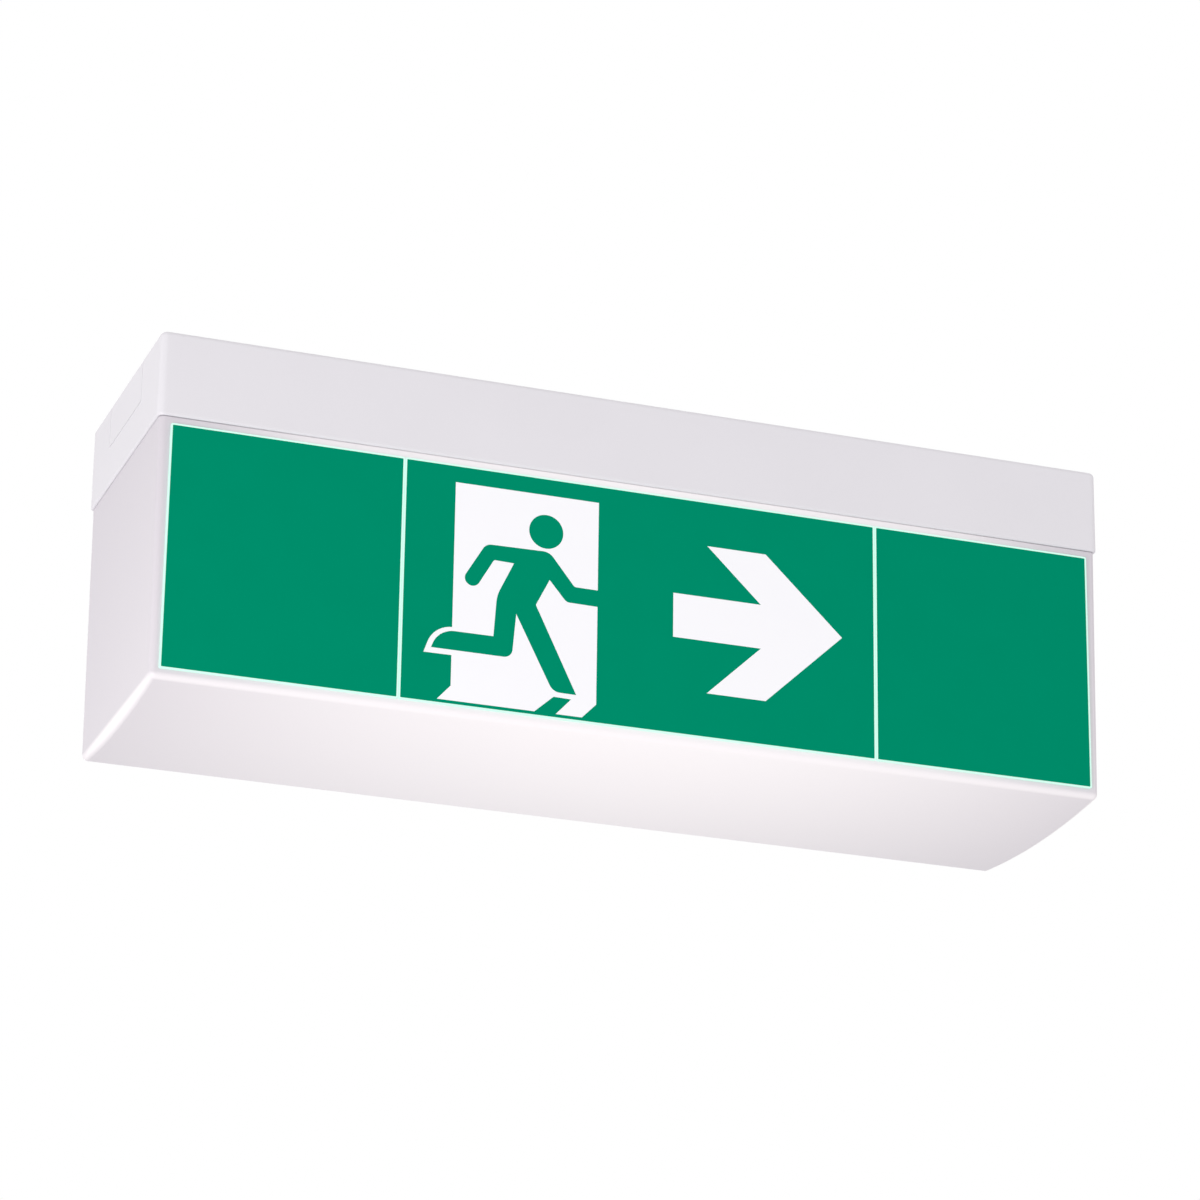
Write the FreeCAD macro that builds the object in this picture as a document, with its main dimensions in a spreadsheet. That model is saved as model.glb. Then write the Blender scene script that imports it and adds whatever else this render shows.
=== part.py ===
"""Emergency exit light for ceiling fixing, as a parametric FreeCAD document.

Millimetres. The origin is the middle of the face that lies against the ceiling. +Z is up, so the light
hangs below z = 0. +X runs along the light and -Y is the side that carries the sign.
"""

import FreeCAD, Part
import math
import os
import re

import Sketcher

# Driving dimensions: name, value, what it is.
SIZES = (
    ("base_length", 404, "base housing along X"),
    ("base_depth", 112, "base housing along Y"),
    ("side_wall", 2.2, "wall of the base's four sides"),
    ("ceiling_wall", 2.5, "plate that lies against the ceiling"),
    ("base_corner", 3, "radius of the base's upright corners"),
    ("base_inner_corner", 1.5, "radius of the upright corners inside the base"),
    ("base_top_edge", 2, "radius round the ceiling plate"),
    ("base_lower_edge", 1.0, "radius round the base's lower edge"),
    ("seam_step", 1.0, "how far the base stands out past the diffuser"),
    ("seam_gap", 0.3, "height of the shadow line under the base"),
    ("diffuser_wall", 2.4, "wall of the opal diffuser"),
    ("end_taper", 1.0, "draft of each diffuser end from seam to lower edge"),
    ("arch_rise", 3.0, "how far the diffuser's bottom bows down in the middle"),
    ("diffuser_edge", 2.5, "radius of the diffuser's upright corners and round its bottom"),
    ("rim_height", 6.0, "how far the diffuser's rim reaches up into the base"),
    ("rim_wall", 1.6, "wall of that rim"),
    ("rim_clearance", 0.35, "gap between the rim and the base's wall"),
    ("rim_overlap", 2.6, "how far the rim runs down inside the diffuser's wall"),
    ("legend_height", 101.5, "height of the three sign plates"),
    ("legend_centre_length", 201.5, "length of the middle sign plate"),
    ("legend_thickness", 0.8, "sign plate"),
    ("legend_gap", 0.1, "gap between neighbouring sign plates"),
    ("legend_corner", 0.8, "corner radius of the sign plates"),
    ("legend_top_margin", 3.1, "base's lower edge to the top of the plates"),
    ("legend_lower_margin", 3.7, "bottom of the plates to the lower front edge"),
    ("legend_end_margin", 4.5, "diffuser's end, at the seam, to the end of the plates"),
    ("fixing_pitch_x", 300, "fixing slots, centre to centre along X"),
    ("fixing_pitch_y", 56, "fixing slots, centre to centre along Y"),
    ("fixing_slot_length", 12, "fixing slot, end to end"),
    ("fixing_slot_width", 5.2, "fixing slot, for a screw of up to 5 mm"),
    ("post_inset_x", 22, "end of the base to a tray post's axis"),
    ("post_inset_y", 18, "side of the base to a tray post's axis"),
    ("post_radius", 3.5, "tray post"),
    ("pilot_radius", 1.35, "pilot hole for a tray screw"),
    ("pilot_depth", 12, "pilot hole"),
    ("stop_rib_thickness", 2, "rib that stops the diffuser's rim"),
    ("stop_rib_depth", 1.8, "how far a stop rib stands in from the wall"),
    ("rib_root", 0.2, "how far a rib runs into the wall behind it"),
    ("stop_rib_pitch", 120, "stop ribs along a side, centre to centre"),
    ("stop_clearance", 0.3, "gap between a stop rib and the rim"),
    ("knockout_width", 52, "score lines of the cable knock-out in the left end"),
    ("knockout_height", 19, "height of that knock-out from the ceiling face"),
    ("score_width", 0.5, "score line"),
    ("score_depth", 0.3, "score line"),
    ("entry_y", 24, "cable entry's axis, behind the middle"),
    ("entry_radius", 10.25, "cable entry hole, 20 mm conduit size"),
    ("entry_recess_radius", 13.5, "recess round the entry in the ceiling face"),
    ("entry_recess_depth", 1.2, "that recess"),
    ("cable_radius", 4.0, "cable hole of the grommet"),
    ("grommet_lip", 2.0, "grommet's flange below the ceiling plate"),
    ("grommet_neck", 1.6, "grommet's collar round the cable"),
    ("slip", 0.1, "radial gap of parts that are pushed into each other"),
    ("pole_count", 5, "poles of the terminal block"),
    ("pole_pitch", 9, "one pole along X"),
    ("terminal_depth", 22, "terminal block along Y"),
    ("terminal_height", 17, "terminal block below the ceiling plate"),
    ("terminal_y", -16, "terminal block's middle, in front of the middle of the light"),
    ("terminal_shoulder", 0.6, "share of its height at which the terminal block steps in"),
    ("terminal_wire_level", 0.35, "share of its height at which the wire holes run"),
    ("terminal_wire_radius", 2.0, "wire holes of the terminal block"),
    ("pole_gap", 1.0, "slit between two poles"),
    ("pole_gap_depth", 5.0, "that slit"),
    ("terminal_screw_radius", 2.2, "terminal screw's head"),
    ("terminal_screw_sink", 2.0, "terminal screw's head below the mouth of its shaft"),
    ("terminal_slot_width", 0.8, "terminal screw's slot"),
    ("terminal_slot_depth", 0.9, "terminal screw's slot"),
    ("cradle_rib", 1.5, "ribs that locate the terminal block"),
    ("cradle_rib_height", 5, "those ribs"),
    ("headroom", 1.8, "ceiling plate to the tallest gear on the tray"),
    ("rim_gap", 0.9, "gear tray to the top of the diffuser's rim"),
    ("tray_sheet", 1.0, "sheet steel of the gear tray"),
    ("tray_bend", 1.0, "inside radius of its bends"),
    ("tray_flange", 10, "turned-up side flange of the tray"),
    ("tray_clearance", 2.5, "tray to the base's side wall"),
    ("tray_hole_radius", 1.9, "screw hole of the tray"),
    ("window_length", 60, "wiring window of the tray along X"),
    ("window_depth", 74, "wiring window of the tray along Y"),
    ("window_corner", 4, "corner radius of that window"),
    ("notch_length", 16, "notch in the tray's flange at a stop rib"),
    ("notch_depth", 4, "that notch"),
    ("lead_hole_width", 7, "tray hole for an LED board's lead, along X"),
    ("lead_hole_length", 15, "that hole along Y"),
    ("lead_hole_y", 21.5, "that hole's middle"),
    ("screw_head_radius", 3.3, "pan head of a tray screw"),
    ("screw_head_height", 2.2, "pan head"),
    ("screw_shank_radius", 1.25, "tray screw"),
    ("screw_length", 10, "tray screw below its head"),
    ("cross_length", 3.4, "cross recess"),
    ("cross_width", 0.8, "cross recess"),
    ("cross_depth", 1.4, "cross recess"),
    ("led_board_width", 22, "LED board along Y"),
    ("led_board_thickness", 1.6, "LED board"),
    ("led_board_window_gap", 6, "wiring window to the inner end of an LED board"),
    ("led_board_end_gap", 22, "end of the tray to the outer end of an LED board"),
    ("led_count", 6, "LED chips on one board"),
    ("led_size", 3.0, "LED chip, square"),
    ("led_height", 0.7, "LED chip"),
    ("led_plug_size", 6.4, "plug housing of an LED board, square"),
    ("led_plug_height", 4.0, "plug housing of an LED board"),
    ("led_plug_wall", 0.8, "plug housing of an LED board"),
    ("led_plug_depth", 4.5, "socket in that housing"),
    ("rivet_inset", 5, "end of a board to its rivet"),
    ("rivet_offset", 6.5, "rivet to the board's middle line"),
    ("rivet_head_radius", 2.6, "plastic rivet"),
    ("rivet_head_height", 1.1, "plastic rivet"),
    ("rivet_shank_radius", 1.5, "plastic rivet"),
    ("rivet_barb_radius", 2.0, "plastic rivet behind the tray"),
    ("rivet_barb_height", 1.5, "plastic rivet behind the tray"),
    ("driver_length", 108, "driver board along X"),
    ("driver_width", 62, "driver board along Y"),
    ("driver_thickness", 1.6, "driver board"),
    ("board_corner", 1.5, "corner radius of the boards"),
    ("driver_shift", 6, "driver board's middle past the middle of its half"),
    ("driver_hole_inset", 4.5, "edge of the driver board to a stand-off"),
    ("standoff_height", 6, "driver board above the tray"),
    ("standoff_radius", 3, "stand-off"),
    ("standoff_pin_radius", 1.5, "stand-off's pin through board and tray"),
    ("standoff_barb_radius", 2.0, "stand-off's barb"),
    ("standoff_barb_height", 1.4, "stand-off's barb"),
    ("transformer_x", -13, "transformer's middle on the driver board"),
    ("transformer_y", 6, "transformer's middle on the driver board"),
    ("core_length", 25, "transformer's ferrite core along X"),
    ("core_width", 7.5, "ferrite core along Y"),
    ("core_height", 15.5, "ferrite core above the board"),
    ("core_yoke", 3.2, "ferrite core's outer legs and yokes"),
    ("core_leg", 6.4, "ferrite core's middle leg"),
    ("winding_build", 3.4, "winding round the middle leg"),
    ("winding_corner", 2.0, "corner radius of the winding"),
    ("bobbin_flange", 1.2, "transformer's bobbin flange"),
    ("bobbin_inset", 2.0, "end of the core to the end of a bobbin flange"),
    ("capacitor_radius", 5, "electrolytic capacitor"),
    ("capacitor_height", 15, "electrolytic capacitor"),
    ("capacitor_crimp", 0.5, "depth of the crimp round its can"),
    ("crimp_lift", 1.5, "foot of the can to its crimp"),
    ("crimp_height", 0.8, "that crimp"),
    ("relay_length", 20, "relay"),
    ("relay_width", 10.2, "relay"),
    ("relay_height", 14.5, "relay"),
    ("film_cap_length", 18, "film capacitor"),
    ("film_cap_width", 7, "film capacitor"),
    ("film_cap_height", 13, "film capacitor"),
    ("case_edge", 0.6, "edge radius of the moulded cases on the board"),
    ("choke_radius", 6, "flanges of the choke's drum core"),
    ("choke_height", 12, "choke"),
    ("choke_flange", 1.8, "flanges of the choke's drum core"),
    ("choke_waist", 1.0, "how far its winding stands back from the flanges"),
    ("varistor_radius", 6.5, "varistor disc, which stands on edge"),
    ("varistor_thickness", 4, "varistor"),
    ("varistor_edge", 1.2, "edge radius of the varistor"),
    ("varistor_lift", 0.8, "driver board to the varistor"),
    ("varistor_pin", 0.8, "pins of the varistor, square"),
    ("header_pitch", 3.96, "driver board's plug headers"),
    ("header_depth", 9, "driver board's plug headers"),
    ("header_height", 9, "driver board's plug headers"),
    ("header_wall", 1.2, "walls of the plug headers across the board"),
    ("header_end", 0.8, "walls of the plug headers at their ends"),
    ("header_socket", 6.3, "depth of the sockets"),
    ("plug_head", 5.6, "plug above its header"),
    ("plug_edge", 0.5, "edge radius of the plug's head"),
    ("lead_radius", 0.8, "leads between the pieces of gear"),
    ("earth_tab_length", 14, "earth tag on the tray along X"),
    ("earth_tab_width", 7, "earth tag"),
    ("earth_tab_sheet", 0.8, "earth tag"),
    ("earth_barrel", 2.4, "square barrel of the earth tag that grips its lead"),
    ("earth_tab_x", 47, "lead end of the earth tag, left of the middle"),
    ("earth_tab_margin", 8.3, "middle of the earth tag to the tray's front"),
    ("cell_count", 3, "cells in the battery stick"),
    ("cell_radius", 11.3, "battery cell in its sleeve"),
    ("cell_length", 43, "battery cell"),
    ("sleeve_edge", 3.0, "radius at both ends of the battery's sleeve"),
    ("sleeve_waist", 0.7, "how far the sleeve draws in between two cells"),
    ("sleeve_waist_reach", 1.5, "joint to where the sleeve is full again"),
    ("battery_shift", 14, "battery's middle past the middle of its half"),
    ("battery_lift", 1.2, "battery's lowest line above the tray"),
    ("clip_wall", 1.6, "battery clip"),
    ("clip_width", 12, "battery clip along X"),
    ("clip_pitch", 76, "battery clips, centre to centre"),
    ("clip_foot", 9, "how far a battery clip's foot reaches out"),
    ("clip_lip", 0.77, "share of its radius at which a battery clip ends beside the cell's crown"),
    ("cover_clip_x", 110, "spring clips of the diffuser, from the middle"),
    ("cover_clip_width", 12, "spring clip"),
    ("cover_clip_sheet", 0.5, "spring clip"),
    ("cover_clip_foot", 10, "spring clip's foot under the tray"),
    ("cover_clip_clearance", 0.35, "spring clip's bead to the rim"),
    ("cover_clip_bead", 1.6, "how far the bead stands out from the spring clip's leg"),
    ("cover_clip_rise", 2.0, "bead's crest to where the leg is straight"),
    ("cover_clip_end", 2.6, "bead's crest to the clip's free end"),
    ("cover_clip_seat", 0.75, "share of the rim's height at which the bead sits"),
    ("catch_depth", 0.6, "catch groove inside the diffuser's rim"),
    ("catch_height", 3.0, "catch groove"),
    ("button_y", 12, "test button's axis, behind the middle"),
    ("button_drop", 14, "ceiling face to the test button's axis"),
    ("button_radius", 4.0, "test button's head"),
    ("button_stand", 1.6, "test button in front of the end wall"),
    ("button_edge", 0.6, "edge radius of the test button's head"),
    ("button_flange_radius", 5.6, "test button's flange inside the wall"),
    ("button_flange", 1.2, "that flange"),
    ("button_stem_radius", 1.4, "test button's stem"),
    ("button_travel", 1.5, "test button's travel"),
    ("running_clearance", 0.1, "radial gap of the test button in its hole"),
    ("spring_wire", 0.4, "radius of the button spring's wire"),
    ("spring_radius", 2.9, "button spring, axis to the middle of its wire"),
    ("spring_turns", 4, "button spring"),
    ("lens_y", -12, "status lens's axis, in front of the middle"),
    ("lens_radius", 2.5, "status lens"),
    ("lens_stand", 0.8, "status lens in front of the end wall"),
    ("lens_dome", 0.8, "edge radius of the status lens"),
    ("lens_neck", 0.3, "how much slimmer the light pipe is than the lens"),
    ("lens_shoulder", 1.2, "shoulder of the status lens behind the wall, out and along"),
    ("indicator_gap", 12, "end wall to the indicator board"),
    ("indicator_width", 40, "indicator board along Y"),
    ("indicator_height", 18, "indicator board along Z"),
    ("indicator_thickness", 1.6, "indicator board"),
    ("guide_wall", 1.4, "guides that hold the indicator board"),
    ("guide_grip", 2.0, "how far a guide laps over the board's edge"),
    ("switch_size", 6.2, "key switch, square"),
    ("switch_height", 3.6, "key switch with its plunger"),
    ("plunger_radius", 1.7, "key switch's plunger"),
    ("plunger_stand", 0.3, "key switch's plunger"),
)
NAMES = {name for name, value, meaning in SIZES}

# Heights and half sizes that several pieces share, in terms of the sheet's names. A drop is measured
# down from the ceiling face.
GEAR_HEIGHT = "max(battery_lift + 2 * cell_radius; standoff_height + driver_thickness + core_height)"
TRAY_DROP = f"(ceiling_wall + headroom + {GEAR_HEIGHT})"
TRAY_UNDER = f"({TRAY_DROP} + tray_sheet)"
RIM_TOP = f"({TRAY_UNDER} + rim_gap)"
SEAM = f"({RIM_TOP} + rim_height)"
BASE_HEIGHT = f"({SEAM} - seam_gap)"
INNER_X = "(base_length / 2 - side_wall)"
INNER_Y = "(base_depth / 2 - side_wall)"
DIFFUSER_X = "(base_length / 2 - seam_step)"
DIFFUSER_Y = "(base_depth / 2 - seam_step)"
LEGEND_TOP = f"({BASE_HEIGHT} + legend_top_margin)"
LOWER_EDGE_DROP = f"({LEGEND_TOP} + legend_height + legend_lower_margin)"
RIM_Y = f"({INNER_Y} - rim_clearance)"
RIM_X = f"({INNER_X} - rim_clearance)"
TRAY_X = f"({INNER_X} - tray_clearance)"
TRAY_Y = f"({INNER_Y} - tray_clearance)"
EARTH_TAB_Y = f"({TRAY_Y} - earth_tab_margin)"
POST_X = "(base_length / 2 - post_inset_x)"
POST_Y = "(base_depth / 2 - post_inset_y)"
LED_INNER = "(window_length / 2 + led_board_window_gap)"
LED_OUTER = f"({TRAY_X} - led_board_end_gap)"
LED_MIDDLE = f"(({LED_INNER} + {LED_OUTER}) / 2)"
LED_LENGTH = f"({LED_OUTER} - {LED_INNER})"
LED_UNDER = f"({TRAY_UNDER} + led_board_thickness)"
DRIVER_X = "(base_length / 4 + driver_shift)"
DRIVER_TOP = f"({TRAY_DROP} - standoff_height - driver_thickness)"
BATTERY_X = "(base_length / 4 + battery_shift)"
BATTERY_DROP = f"({TRAY_DROP} - battery_lift - cell_radius)"
BATTERY_END = "(base_length / 4 + battery_shift - cell_count * cell_length / 2)"
LEGEND_X = f"({DIFFUSER_X} - legend_end_margin)"
HEADER_REACH = "(driver_length / 2 - header_depth / 2 - 1)"
PLUG_LEVEL = f"(-{DRIVER_TOP} + header_height + plug_head / 2)"
PLUG_FACE = f"({DRIVER_X} - {HEADER_REACH} - header_depth / 2)"
WIRE_LEVEL = "(-ceiling_wall - terminal_height * terminal_wire_level)"
LED_PLUG_X = f"({LED_INNER} + led_plug_size / 2)"
LED_PLUG_LEVEL = f"(-{LED_UNDER} - led_plug_height / 2)"
ON_TRAY = f"(-{TRAY_DROP} + lead_radius + 0.3)"

# Plug headers of the driver board: side, middle along Y, poles, what they serve.
HEADERS = (
    ("-", -18.9, 2, "LED board right"),
    ("-", -6.2, 3, "supply, with its middle pole left free"),
    ("-", 6.5, 2, "battery"),
    ("-", 17.2, 2, "LED board left"),
    ("", 8.0, 4, "indicator board"),
)
LED_RIGHT_Y, SUPPLY_Y, BATTERY_Y, LED_LEFT_Y, INDICATOR_Y = (y for side, y, poles, use in HEADERS)

document = FreeCAD.newDocument("exit_light")
sheet = document.addObject("Spreadsheet::Sheet", "Sizes")
subparts = []


def fill_sheet():
    """Writes the driving dimensions, each in a cell of its own that carries its name."""
    for row, (name, value, meaning) in enumerate(SIZES, 1):
        sheet.set(f"A{row}", str(value))
        sheet.setAlias(f"A{row}", name)
        sheet.set(f"B{row}", meaning)
    document.recompute()


def on_sheet(expression):
    """Points each size's name in an expression to its cell."""
    return re.sub(r"[a-z][a-z_]+", lambda word: "Sizes." * (word.group() in NAMES) + word.group(), expression)


def measure(expression):
    """The present value of an expression."""
    return float(sheet.evalExpression(on_sheet(expression)))


def new_body(label):
    """A body for one sub-part, kept in the list of what is written out."""
    body = document.addObject("PartDesign::Body", label)
    body.Label = label
    subparts.append(body)
    return body


def draw(body, name, plane, offset="0"):
    """An empty sketch on one of the body's origin planes, moved along the plane's normal."""
    support = next(feature for feature in body.Origin.OriginFeatures if feature.Role == plane)
    drawing = body.newObject("Sketcher::SketchObject", f"{body.Name}_{name}")
    drawing.AttachmentSupport = (support, [""])
    drawing.MapMode = "FlatFace"
    drawing.setExpression(".AttachmentOffset.Base.z", on_sheet(offset))
    return drawing


def hold(drawing, kind, geometry, expression):
    """Adds a dimension to a sketch and binds it to the sheet."""
    row = drawing.addConstraint(Sketcher.Constraint(kind, *geometry, measure(expression)))
    drawing.setExpression(f"Constraints[{row}]", on_sheet(expression))


def pin(drawing, geometry, vertex, x, y):
    """Holds a vertex at a place worked out from the sheet."""
    hold(drawing, "DistanceX", (-1, 1, geometry, vertex), x)
    hold(drawing, "DistanceY", (-1, 1, geometry, vertex), y)


def circle(drawing, x, y, radius):
    """A circle held by its middle and its radius."""
    middle = FreeCAD.Vector(measure(x), measure(y), 0)
    geometry = drawing.addGeometry(Part.Circle(middle, FreeCAD.Vector(0, 0, 1), measure(radius)))
    pin(drawing, geometry, 3, x, y)
    hold(drawing, "Radius", (geometry,), radius)


def arc_between(start, end, radius, bulge):
    """The shorter arc from start to end; bulge is 1 to pass on the right of the chord and -1 on its left."""
    chord = end.sub(start)
    half = chord.Length / 2
    rise = radius - max(radius * radius - half * half, 0) ** 0.5
    right = FreeCAD.Vector(chord.y, -chord.x, 0).normalize()
    crown = start.add(chord * 0.5).add(right * (rise * bulge))
    return Part.Arc(start, crown, end)


def outline(drawing, *corners):
    """A closed outline of corners (x, y), or (x, y, radius, bulge) where an arc leads to the next corner."""
    points = [FreeCAD.Vector(measure(corner[0]), measure(corner[1]), 0) for corner in corners]
    sides = []
    for index, corner in enumerate(corners):
        start = points[index]
        end = points[(index + 1) % len(points)]
        if len(corner) == 2:
            geometry = drawing.addGeometry(Part.LineSegment(start, end))
        else:
            geometry = drawing.addGeometry(arc_between(start, end, measure(corner[2]), corner[3]))
        first_is_start = drawing.getPoint(geometry, 1).distanceToPoint(start) < 1e-6
        sides.append((geometry, 1, 2) if first_is_start else (geometry, 2, 1))
    for index, corner in enumerate(corners):
        geometry, start_vertex, end_vertex = sides[index]
        following, following_start, _ = sides[(index + 1) % len(sides)]
        meeting = ("Coincident", geometry, end_vertex, following, following_start)
        drawing.addConstraint(Sketcher.Constraint(*meeting))
        pin(drawing, geometry, start_vertex, corner[0], corner[1])
        if len(corner) == 4:
            hold(drawing, "Radius", (geometry,), corner[2])


def rectangle(drawing, x, y, width, height):
    """A rectangle about its middle."""
    left, right = f"{x} - {width} / 2", f"{x} + {width} / 2"
    low, high = f"{y} - {height} / 2", f"{y} + {height} / 2"
    outline(drawing, (left, low), (right, low), (right, high), (left, high))


def rounded_rectangle(drawing, x, y, width, height, radius):
    """A rectangle about its middle, with round corners."""
    left, right = f"{x} - {width} / 2", f"{x} + {width} / 2"
    low, high = f"{y} - {height} / 2", f"{y} + {height} / 2"
    outline(
        drawing,
        (f"{left} + {radius}", low),
        (f"{right} - {radius}", low, radius, 1),
        (right, f"{low} + {radius}"),
        (right, f"{high} - {radius}", radius, 1),
        (f"{right} - {radius}", high),
        (f"{left} + {radius}", high, radius, 1),
        (left, f"{high} - {radius}"),
        (left, f"{low} + {radius}", radius, 1),
    )


def slot(drawing, x, y, length, width):
    """A round-ended slot along the sketch's x axis."""
    reach = f"({length} - {width}) / 2"
    radius = f"{width} / 2"
    outline(
        drawing,
        (f"{x} - {reach}", f"{y} - {radius}"),
        (f"{x} + {reach}", f"{y} - {radius}", radius, 1),
        (f"{x} + {reach} + {radius}", y, radius, 1),
        (f"{x} + {reach}", f"{y} + {radius}"),
        (f"{x} - {reach}", f"{y} + {radius}", radius, 1),
        (f"{x} - {reach} - {radius}", y, radius, 1),
    )


def pad(body, drawing, length, both_ways=False, backwards=False):
    """Adds material along the sketch's normal, or against it if backwards."""
    feature = body.newObject("PartDesign::Pad", f"{drawing.Name}_pad")
    feature.Profile = drawing
    feature.setExpression("Length", on_sheet(length))
    feature.SideType = "Symmetric" if both_ways else "One side"
    feature.Reversed = backwards
    drawing.Visibility = False
    return feature


def pocket(body, drawing, length, both_ways=False, backwards=False):
    """Cuts against the sketch's normal, or along it if backwards."""
    feature = body.newObject("PartDesign::Pocket", f"{drawing.Name}_pocket")
    feature.Profile = drawing
    feature.setExpression("Length", on_sheet(length))
    feature.SideType = "Symmetric" if both_ways else "One side"
    feature.Reversed = backwards
    drawing.Visibility = False
    return feature


def revolve(body, drawing):
    """Turns a sketch all the way round its upright axis."""
    feature = body.newObject("PartDesign::Revolution", f"{drawing.Name}_turned")
    feature.Profile = drawing
    feature.ReferenceAxis = (drawing, ["V_Axis"])
    feature.Angle = 360
    drawing.Visibility = False
    return feature


def round_edges(body, radius, chosen):
    """Rounds the edges of a body that a test picks."""
    document.recompute()
    base = body.Tip
    names = [f"Edge{number}" for number, edge in enumerate(base.Shape.Edges, 1) if chosen(edge)]
    feature = body.newObject("PartDesign::Fillet", f"{base.Name}_round")
    feature.Base = (base, names)
    feature.setExpression("Radius", on_sheet(radius))
    return feature


def is_upright(edge):
    """True for a straight edge along Z."""
    along = edge.Vertexes[-1].Point.sub(edge.Vertexes[0].Point)
    return abs(along.z) > 1e-3 and abs(along.x) + abs(along.y) < 1e-3


def lies_at(edge, height):
    """True for an edge that lies at one height."""
    box = edge.BoundBox
    return abs(box.ZMin - height) < 1e-3 and abs(box.ZMax - height) < 1e-3


def base_housing():
    """Moulded tray, open downwards: walls, ceiling plate, posts, ribs, entries and holes for the button."""
    body = new_body("base_housing")
    plan = draw(body, "plan", "XY_Plane")
    rectangle(plan, "0", "0", "base_length", "base_depth")
    pad(body, plan, BASE_HEIGHT, backwards=True)
    round_edges(body, "base_corner", is_upright)
    round_edges(body, "base_top_edge", lambda edge: lies_at(edge, 0))
    round_edges(body, "base_lower_edge", lambda edge: lies_at(edge, -measure(BASE_HEIGHT)))

    cavity = draw(body, "cavity", "XY_Plane", "-ceiling_wall")
    rounded_rectangle(cavity, "0", "0", f"2 * {INNER_X}", f"2 * {INNER_Y}", "base_inner_corner")
    pocket(body, cavity, BASE_HEIGHT)

    posts = draw(body, "posts", "XY_Plane", "-ceiling_wall")
    pilots = draw(body, "pilots", "XY_Plane", f"-{TRAY_DROP}")
    for x in (f"-{POST_X}", POST_X):
        for y in (f"-{POST_Y}", POST_Y):
            circle(posts, x, y, "post_radius")
            circle(pilots, x, y, "pilot_radius")
    pad(body, posts, f"{TRAY_DROP} - ceiling_wall", backwards=True)
    pocket(body, pilots, "pilot_depth", backwards=True)

    ribs = draw(body, "stop_ribs", "XY_Plane", "-ceiling_wall")
    rib_depth = "(stop_rib_depth + rib_root)"
    for side in ("-1", "1"):
        for step in ("-1", "0", "1"):
            middle = f"{side} * ({INNER_Y} - (stop_rib_depth - rib_root) / 2)"
            rectangle(ribs, f"{step} * stop_rib_pitch", middle, "stop_rib_thickness", rib_depth)
        middle = f"{side} * ({INNER_X} - (stop_rib_depth - rib_root) / 2)"
        rectangle(ribs, middle, f"-{side} * base_depth / 4", rib_depth, "stop_rib_thickness")
    pad(body, ribs, f"{RIM_TOP} - stop_clearance - ceiling_wall", backwards=True)

    cradle = draw(body, "terminal_cradle", "XY_Plane", "-ceiling_wall")
    for side in ("-1", "1"):
        middle = f"{side} * ((pole_count * pole_pitch + cradle_rib) / 2 + slip)"
        rectangle(cradle, middle, "terminal_y", "cradle_rib", "(terminal_depth - 4)")
    pad(body, cradle, "cradle_rib_height", backwards=True)

    guides = draw(body, "board_guides", "XY_Plane", "-ceiling_wall")
    near = f"{INNER_X} - indicator_gap - indicator_thickness - slip - guide_wall"
    far = f"{INNER_X} - indicator_gap + slip + guide_wall"
    for side in ("-1", "1"):
        edge = f"{side} * (indicator_width / 2 - guide_grip)"
        bottom = f"{side} * (indicator_width / 2 + slip)"
        outer = f"{side} * (indicator_width / 2 + slip + guide_wall)"
        outline(
            guides,
            (near, edge),
            (f"{near} + guide_wall", edge),
            (f"{near} + guide_wall", bottom),
            (f"{far} - guide_wall", bottom),
            (f"{far} - guide_wall", edge),
            (far, edge),
            (far, outer),
            (near, outer),
        )
    pad(body, guides, "indicator_height - 2", backwards=True)

    slots = draw(body, "fixing_slots", "XY_Plane")
    for x in ("-fixing_pitch_x / 2", "fixing_pitch_x / 2"):
        for y in ("-fixing_pitch_y / 2", "fixing_pitch_y / 2"):
            slot(slots, x, y, "fixing_slot_length", "fixing_slot_width")
    pocket(body, slots, "2 * ceiling_wall")

    entry = draw(body, "cable_entry", "XY_Plane")
    circle(entry, "0", "entry_y", "entry_radius")
    pocket(body, entry, "2 * ceiling_wall")
    recess = draw(body, "entry_recess", "XY_Plane")
    circle(recess, "0", "entry_y", "entry_recess_radius")
    pocket(body, recess, "entry_recess_depth")

    score = draw(body, "knockout_score", "YZ_Plane", "-base_length / 2")
    outline(
        score,
        ("-knockout_width / 2", "0"),
        ("-knockout_width / 2", "-knockout_height"),
        ("knockout_width / 2", "-knockout_height"),
        ("knockout_width / 2", "0"),
        ("knockout_width / 2 - score_width", "0"),
        ("knockout_width / 2 - score_width", "-knockout_height + score_width"),
        ("-knockout_width / 2 + score_width", "-knockout_height + score_width"),
        ("-knockout_width / 2 + score_width", "0"),
    )
    pocket(body, score, "score_depth", backwards=True)

    end_holes = draw(body, "end_holes", "YZ_Plane", "base_length / 2")
    circle(end_holes, "button_y", "-button_drop", "(button_radius + running_clearance)")
    circle(end_holes, "lens_y", "-button_drop", "(lens_radius + slip)")
    pocket(body, end_holes, "2 * side_wall")


def cable_grommet():
    """Rubber grommet: a groove grips the ceiling plate, and its collar closes round the cable."""
    body = new_body("cable_grommet")
    section = draw(body, "section", "XZ_Plane")
    outline(
        section,
        ("cable_radius", "-slip"),
        ("entry_recess_radius - 3 * slip", "-slip"),
        ("entry_recess_radius - 3 * slip", "-entry_recess_depth"),
        ("entry_radius - slip", "-entry_recess_depth"),
        ("entry_radius - slip", "-ceiling_wall"),
        ("entry_recess_radius - 0.5", "-ceiling_wall"),
        ("entry_recess_radius - 2", "-ceiling_wall - grommet_lip"),
        ("cable_radius + 3", "-ceiling_wall - grommet_lip"),
        ("cable_radius + 1.5", "-ceiling_wall - grommet_lip - grommet_neck"),
        ("cable_radius", "-ceiling_wall - grommet_lip - grommet_neck"),
    )
    revolve(body, section)
    body.setExpression(".Placement.Base.y", on_sheet("entry_y"))


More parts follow.
